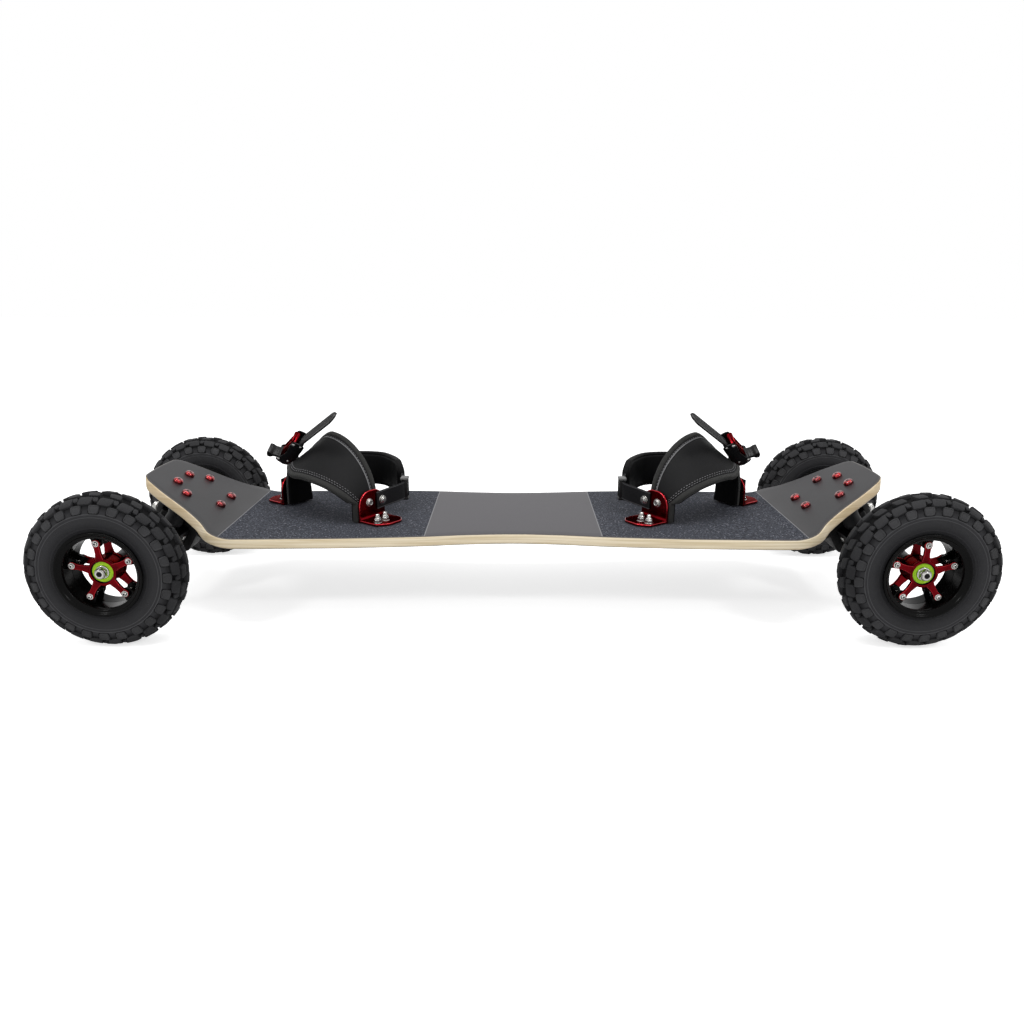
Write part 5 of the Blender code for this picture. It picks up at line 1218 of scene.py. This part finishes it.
def make_ladder(side):
    """The ladder strap: its outer face carries teeth, a saw, between two smooth margins."""
    line, run = even(ladder_line(), 0.0004)
    left = run[-1] - run
    wide = np.minimum(LADDER_HALF * np.clip(left / 0.0125 + 0.15, 0.0, 1.0) ** 0.5, LADDER_HALF)
    saw = (run % LADDER_PITCH) / LADDER_PITCH
    shape = 0.0010 * np.clip(saw * 1.6, 0, 1) * np.clip((1 - saw) * 6, 0, 1)
    tooth = np.where((left > 0.010) & (run > 0.03), shape, 0.0)
    half = 0.0014
    edge = [(-1.0, -0.4), (-1.0, 0.5), (-0.95, 0.9), (-0.80, 0.9)]
    teeth = [(-0.74, 0.30), (-0.2, 0.30), (0.2, 0.30), (0.74, 0.30)]
    rest = [(0.80, 0.9), (0.95, 0.9), (1.0, 0.5), (1.0, -0.4), (0.95, -0.9), (0.0, -1.0), (-0.95, -0.9)]
    out, up = np.array(edge + teeth + rest).T
    toothed = np.repeat([0.0, 1.0, 0.0], (len(edge), len(teeth), len(rest)))
    across = out * wide[:, None]
    up = up * half + toothed * tooth[:, None]
    share = np.clip((line[:, 2] - TWIST_START) / (TWIST_END - TWIST_START), 0.0, 1.0)
    share = (share * share * (3 - 2 * share))[:, None]
    width_way = unit(share * ratchet_place()[:3, 2] + (1 - share) * np.array([0.0, 1.0, 0.0]))
    ladder = Shells().add(swept(line, np.stack([up, -across], -1), -width_way), binding_place(side))
    ladder.make(f"binding_{side}_ladder", [strap_plastic], "board", [f"binding_{side}_ladder_strap"],
                "black_plastic", crease=40.0)


CHEEK = [(-0.0245, -0.0135), (-0.0080, -0.0122), (0.0095, -0.0086), (0.0260, -0.0056), (0.0260, 0.0034),
         (0.0230, 0.0112), (0.0120, 0.0112), (-0.0040, 0.0062), (-0.0200, 0.0066), (-0.0250, 0.0100),
         (-0.0303, 0.0100), (-0.0325, 0.0060), (-0.0325, -0.0050)]
LEVER_PIN = (0.0180, 0.0078)
RELEASE_PIN = (-0.0275, 0.0062)
PIN_BORE = 0.0021


def make_ratchet(side):
    """The ratchet: a channel of two cheeks with the pins, the red lever and the release tab."""
    place = binding_place(side) @ ratchet_place()
    body = Shells()
    for low, high in ((0.0113, 0.0130), (-0.0130, -0.0113)):
        body.plate(CHEEK, 0.003, low, high, 0.0004, place)
    body.plate(oblong(-0.0045, -0.0036, 0.0250, -0.0018), 0.0004, -0.0121, 0.0121, 0.0002, place)
    pin = [(-0.0143, 0.0001), (-0.0143, 0.0017), (-0.0134, 0.0028), (-0.0129, 0.0030), (-0.0128, 0.0019)]
    for d, m in (LEVER_PIN, RELEASE_PIN):
        body.spun(symmetric(pin), 0.0004, 28, place @ at(d, m, 0.0), finish=1)
    rivet = np.array([(0.0120, 0.0001), (0.0120, 0.0020), (0.0131, 0.0021), (0.0138, 0.0013),
                      (0.0140, 0.0001)])
    for d, m in ((0.0225, -0.0012), (-0.0205, -0.0060)):
        for sign in (1.0, -1.0):
            body.spun(rivet * (sign, 1.0), 0.0004, 24, place @ at(d, m, 0.0), finish=1)
    body.make(f"binding_{side}_ratchet_channel", [plastic, steel], "board", [f"binding_{side}_ratchet_body"],
              "black_plastic")

    spot = place @ at(*LEVER_PIN, 0.0)
    lever = Shells().spun(tube(-0.0098, PIN_BORE, 0.0098, 0.0042), 0.0006, 36, spot, ring=True)
    plate = [(0.0, -0.0022), (-0.012, -0.0030), (-0.0365, -0.0034), (-0.0395, -0.0012), (-0.0375, 0.0010),
             (-0.024, 0.0016), (-0.012, 0.0030), (-0.002, 0.0043), (0.0012, 0.0066), (0.0040, 0.0062),
             (0.0036, 0.0025)]
    lever.plate(plate, 0.0018, -0.0092, 0.0092, 0.0008, spot)
    rail = [(-0.034, 0.0002), (-0.034, 0.0020), (-0.022, 0.0030), (-0.008, 0.0044), (-0.004, 0.0030)]
    for z in (-0.0060, 0.0060):
        lever.plate(rail, 0.0012, z - 0.0012, z + 0.0012, 0.0006, spot)
    lever.make(f"binding_{side}_lever_plate", [red_metal], f"ratchet_lever_{side}",
               [f"binding_{side}_ratchet_lever"], "red_anodised")

    spot = place @ at(*RELEASE_PIN, 0.0)
    tab = Shells().spun(tube(-0.0098, PIN_BORE, 0.0098, 0.0031), 0.0004, 32, spot, ring=True)
    end = np.array([-0.0100, 0.0153])
    along = unit(end)
    square = np.array([-along[1], along[0]])
    outline = ((0.0, 0.0022), (0.5, 0.0021), (0.75, 0.0054), (1.0, 0.0054), (1.06, 0.0), (1.0, -0.0054),
               (0.75, -0.0054), (0.5, -0.0021), (0.0, -0.0022))
    tab.plate([end * s + square * o for s, o in outline], 0.0016, -0.0092, 0.0092, 0.0010, spot)
    tab.make(f"binding_{side}_release_tab", [plastic], f"release_lever_{side}",
             [f"binding_{side}_release_lever"], "black_plastic")


# Lines of the heel strap, from the near bracket round the heel to the far one
WEB_HALF = 0.0125
HEEL_THICK = 0.0060
HEEL_END_THICK = 0.0012
HEEL_END_HALF = 0.0118
NEAR_WEB_X = BRACKETS["near"]["x"] + 0.0048
FAR_WEB_X = -BRACKETS["far"]["x"] - 0.0048
TURN_X = BRACKETS["near"]["x"] + 0.0118
NEAR_WEB = [(NEAR_WEB_X, 0.0084, 0.0273), (NEAR_WEB_X, 0.0114, 0.0273), (NEAR_WEB_X, 0.0274, 0.0283),
            (TURN_X, 0.0540, 0.0330), (TURN_X - 0.009, 0.0690, 0.0350), (TURN_X - 0.030, 0.0840, 0.0382)]
ADJUSTER = np.array([(TURN_X - 0.001, 0.0570, 0.0350), (TURN_X - 0.009, 0.0690, 0.0350)])
HEEL_PAD = [(TURN_X - 0.030, 0.0840), (TURN_X - 0.036, 0.0880), (0.050, 0.0985), (0.031, 0.1090),
            (0.000, 0.1190), (-0.027, 0.1110), (-0.048, 0.0920), (-0.063, 0.0700), (-0.070, 0.0580)]
FAR_WEB = [(-0.070, 0.0580, 0.0372), (FAR_WEB_X, 0.0298, 0.0373), (FAR_WEB_X, -0.0160, 0.0273),
           (FAR_WEB_X, -0.0190, 0.0273)]


def banded(place, path, section, shells):
    """A closed section (depth out, height up) carried along a path, square to it as seen in plan."""
    tangent = unit(np.gradient(path * (1, 1, 0), axis=0))
    out = np.stack([tangent[:, 1], -tangent[:, 0], np.zeros(len(tangent))], 1)
    grid = path[:, None] + out[:, None] * section[..., :1] + np.array([0.0, 0.0, 1.0]) * section[..., 1:]
    run = np.broadcast_to(run_along(path)[:, None], grid.shape[:2])
    shells.add(grid, place, skin=np.stack([run, section[..., 1]], -1))


def make_heel_strap(side):
    """Webbing from both brackets, its adjuster, and the stuffed heel pad between them."""
    place = binding_place(side)
    web = Shells()
    flat = rounded(oblong(-0.0009, -1.0, 0.0009, 1.0), 0.0006, 2)
    for strip in (through(NEAR_WEB, 90), through(FAR_WEB, 70)):
        ease = np.linspace(0, 1, len(strip))
        half = WEB_HALF * np.clip(0.76 + np.minimum(ease, 1 - ease) * 12, 0.0, 1.0)
        section = flat * np.stack([np.ones_like(half), half], 1)[:, None]
        banded(place, strip, section, web)
    web.make(f"binding_{side}_webbing", [webbing], "board", (), "webbing", skin=True)

    buckle = Shells()
    along = unit((ADJUSTER[1] - ADJUSTER[0]) * (1, 1, 0))
    here = place @ axes(ADJUSTER.mean(0), along, (0, 0, 1), (along[1], -along[0], 0.0))
    buckle.plate(oblong(-0.0072, -0.0150, 0.0072, 0.0150), 0.0025, -0.0034, -0.0014, 0.0005, here)
    for x in (-0.0058, 0.0058):
        buckle.plate(oblong(x - 0.0014, -0.0145, x + 0.0014, 0.0145), 0.001, 0.0014, 0.0056, 0.0007, here)
    cap = np.array(oblong(-0.0076, 0.0127, 0.0076, 0.0166))
    # Painted highlight: the adjuster's upper end cap is grey, its lower one black.
    for hand, finish in ((1, 1), (-1, 0)):
        buckle.plate(cap * (1, hand), 0.0014, -0.0046, 0.0062, 0.0010, here, finish)
    buckle.make(f"binding_{side}_adjuster", [plastic, top_highlight_plastic], "board", (), "black_plastic")

    ease = np.linspace(0, 1, 110)
    level = np.interp(ease, [0, 0.08, 0.2, 0.9, 1], [0.0380, 0.0374, 0.0402, 0.0402, 0.0380])
    tall = np.interp(ease, [0.0, 0.07, 0.22, 0.9, 1.0], [0.0190, 0.0202, 0.0262, 0.0262, 0.0242])
    swell = np.clip(np.minimum(ease, 1 - ease) * 11.0, 0.0, 1.0) ** 0.5
    half = HEEL_END_HALF + (tall - HEEL_END_HALF) * swell
    thick = HEEL_END_THICK + (HEEL_THICK - HEEL_END_THICK) * swell
    a = np.arange(96) * math.tau / 96
    flat = np.stack([np.cos(a), np.sin(a)], 1)
    flat = np.sign(flat) * np.abs(flat) ** 0.50
    pinch = 1.0 - 0.22 * np.exp(-(((np.abs(flat[:, 1]) - 0.84) / 0.035) ** 2))
    section = np.stack([thick[:, None] * (flat[:, 0] * pinch)[None], half[:, None] * flat[None, :, 1]], -1)
    stuffed = Shells()
    banded(place, np.column_stack([through(HEEL_PAD, len(ease)), level]), section, stuffed)
    pad = stuffed.make(f"binding_{side}_heel_pad", [heel_face], "board", [f"binding_{side}_heel_strap"],
                       "padding", crease=60.0, skin=True)


for side in SIDES:
    for where in ENDS:
        make_bracket(side, where)
    make_foot_pad(side)
    make_ladder(side)
    make_ratchet(side)
    make_heel_strap(side)


# Stage: white ground, soft light from above and from both sides, and the camera


def make_stage():
    """Pale ground that glows for the camera only, so that it is white and still takes the board's shadow."""
    floor = Finish("ground", (238, 238, 238), 0.9, specular_ior_level=0.0)
    floor.set("Base Color", floor.mix(floor.noise(3.0, 2.0), (240, 240, 240), (236, 236, 236)))
    tree = floor.tree
    glow, both = (tree.nodes.new("ShaderNode" + kind) for kind in ("Emission", "AddShader"))
    floor.plug(floor.ray("Camera") * 0.68, glow.inputs["Strength"])
    tree.links.new(floor.shader.outputs[0], both.inputs[0])
    tree.links.new(glow.outputs[0], both.inputs[1])
    tree.links.new(both.outputs[0], tree.nodes["Material Output"].inputs["Surface"])
    x, y = np.meshgrid(*[np.linspace(-9.0, 9.0, 7)] * 2, indexing="ij")
    sheet = Shells().add(np.stack([x, y, np.zeros_like(x)], -1), loop_columns=False, ends=False)
    sheet.make("ground", [floor], None)


def make_world():
    """White all round: brighter for rays from the camera and from metal and glass than as light."""
    world = bpy.data.worlds.new("studio")
    bpy.context.scene.world = world
    world.use_nodes = True
    sky = Nodes(world.node_tree)
    back = sky.tree.nodes["Background"]
    seen = sky.ray("Camera").most(sky.ray("Glossy")).most(sky.ray("Transmission"))
    back.inputs["Color"].default_value = (1.0, 1.0, 1.0, 1.0)
    sky.plug(seen * 0.42 + 0.58, back.inputs["Strength"])


def softbox(name, place, size, power):
    """An area light at a place, turned to face the board."""
    light = bpy.data.lights.new(name, "AREA")
    light.shape = "RECTANGLE"
    light.size, light.size_y = size
    light.energy = power
    lamp = bpy.data.objects.new(name, light)
    back = unit(np.array(place) - (0.0, 0.0, 0.1))
    right = unit(np.cross((0.0, 0.001, 1.0), back))
    lamp.matrix_world = Matrix(axes(place, right, np.cross(back, right), back).tolist())
    bpy.context.scene.collection.objects.link(lamp)


make_stage()
make_world()
softbox("top_light", (0.0, -0.2, 2.2), (2.4, 0.26), 24.0)
softbox("left_light", (-1.6, -1.4, 1.6), (0.30, 0.30), 9.0)
softbox("right_light", (1.6, -1.4, 1.6), (0.30, 0.30), 9.0)

lens = bpy.data.cameras.new("camera")
lens.lens = 28.474
lens.sensor_width = 36.0
lens.shift_x = -0.0018
lens.clip_start, lens.clip_end = 0.05, 60.0
camera = bpy.data.objects.new("camera", lens)
camera.location = (0.0, -1.1412, 0.4497)
camera.rotation_euler = (math.pi / 2 - 0.2782, -0.0023, 0.0)
bpy.context.scene.collection.objects.link(camera)
bpy.context.scene.camera = camera
bpy.context.scene.view_settings.view_transform = "Standard"

bpy.context.view_layer.update()
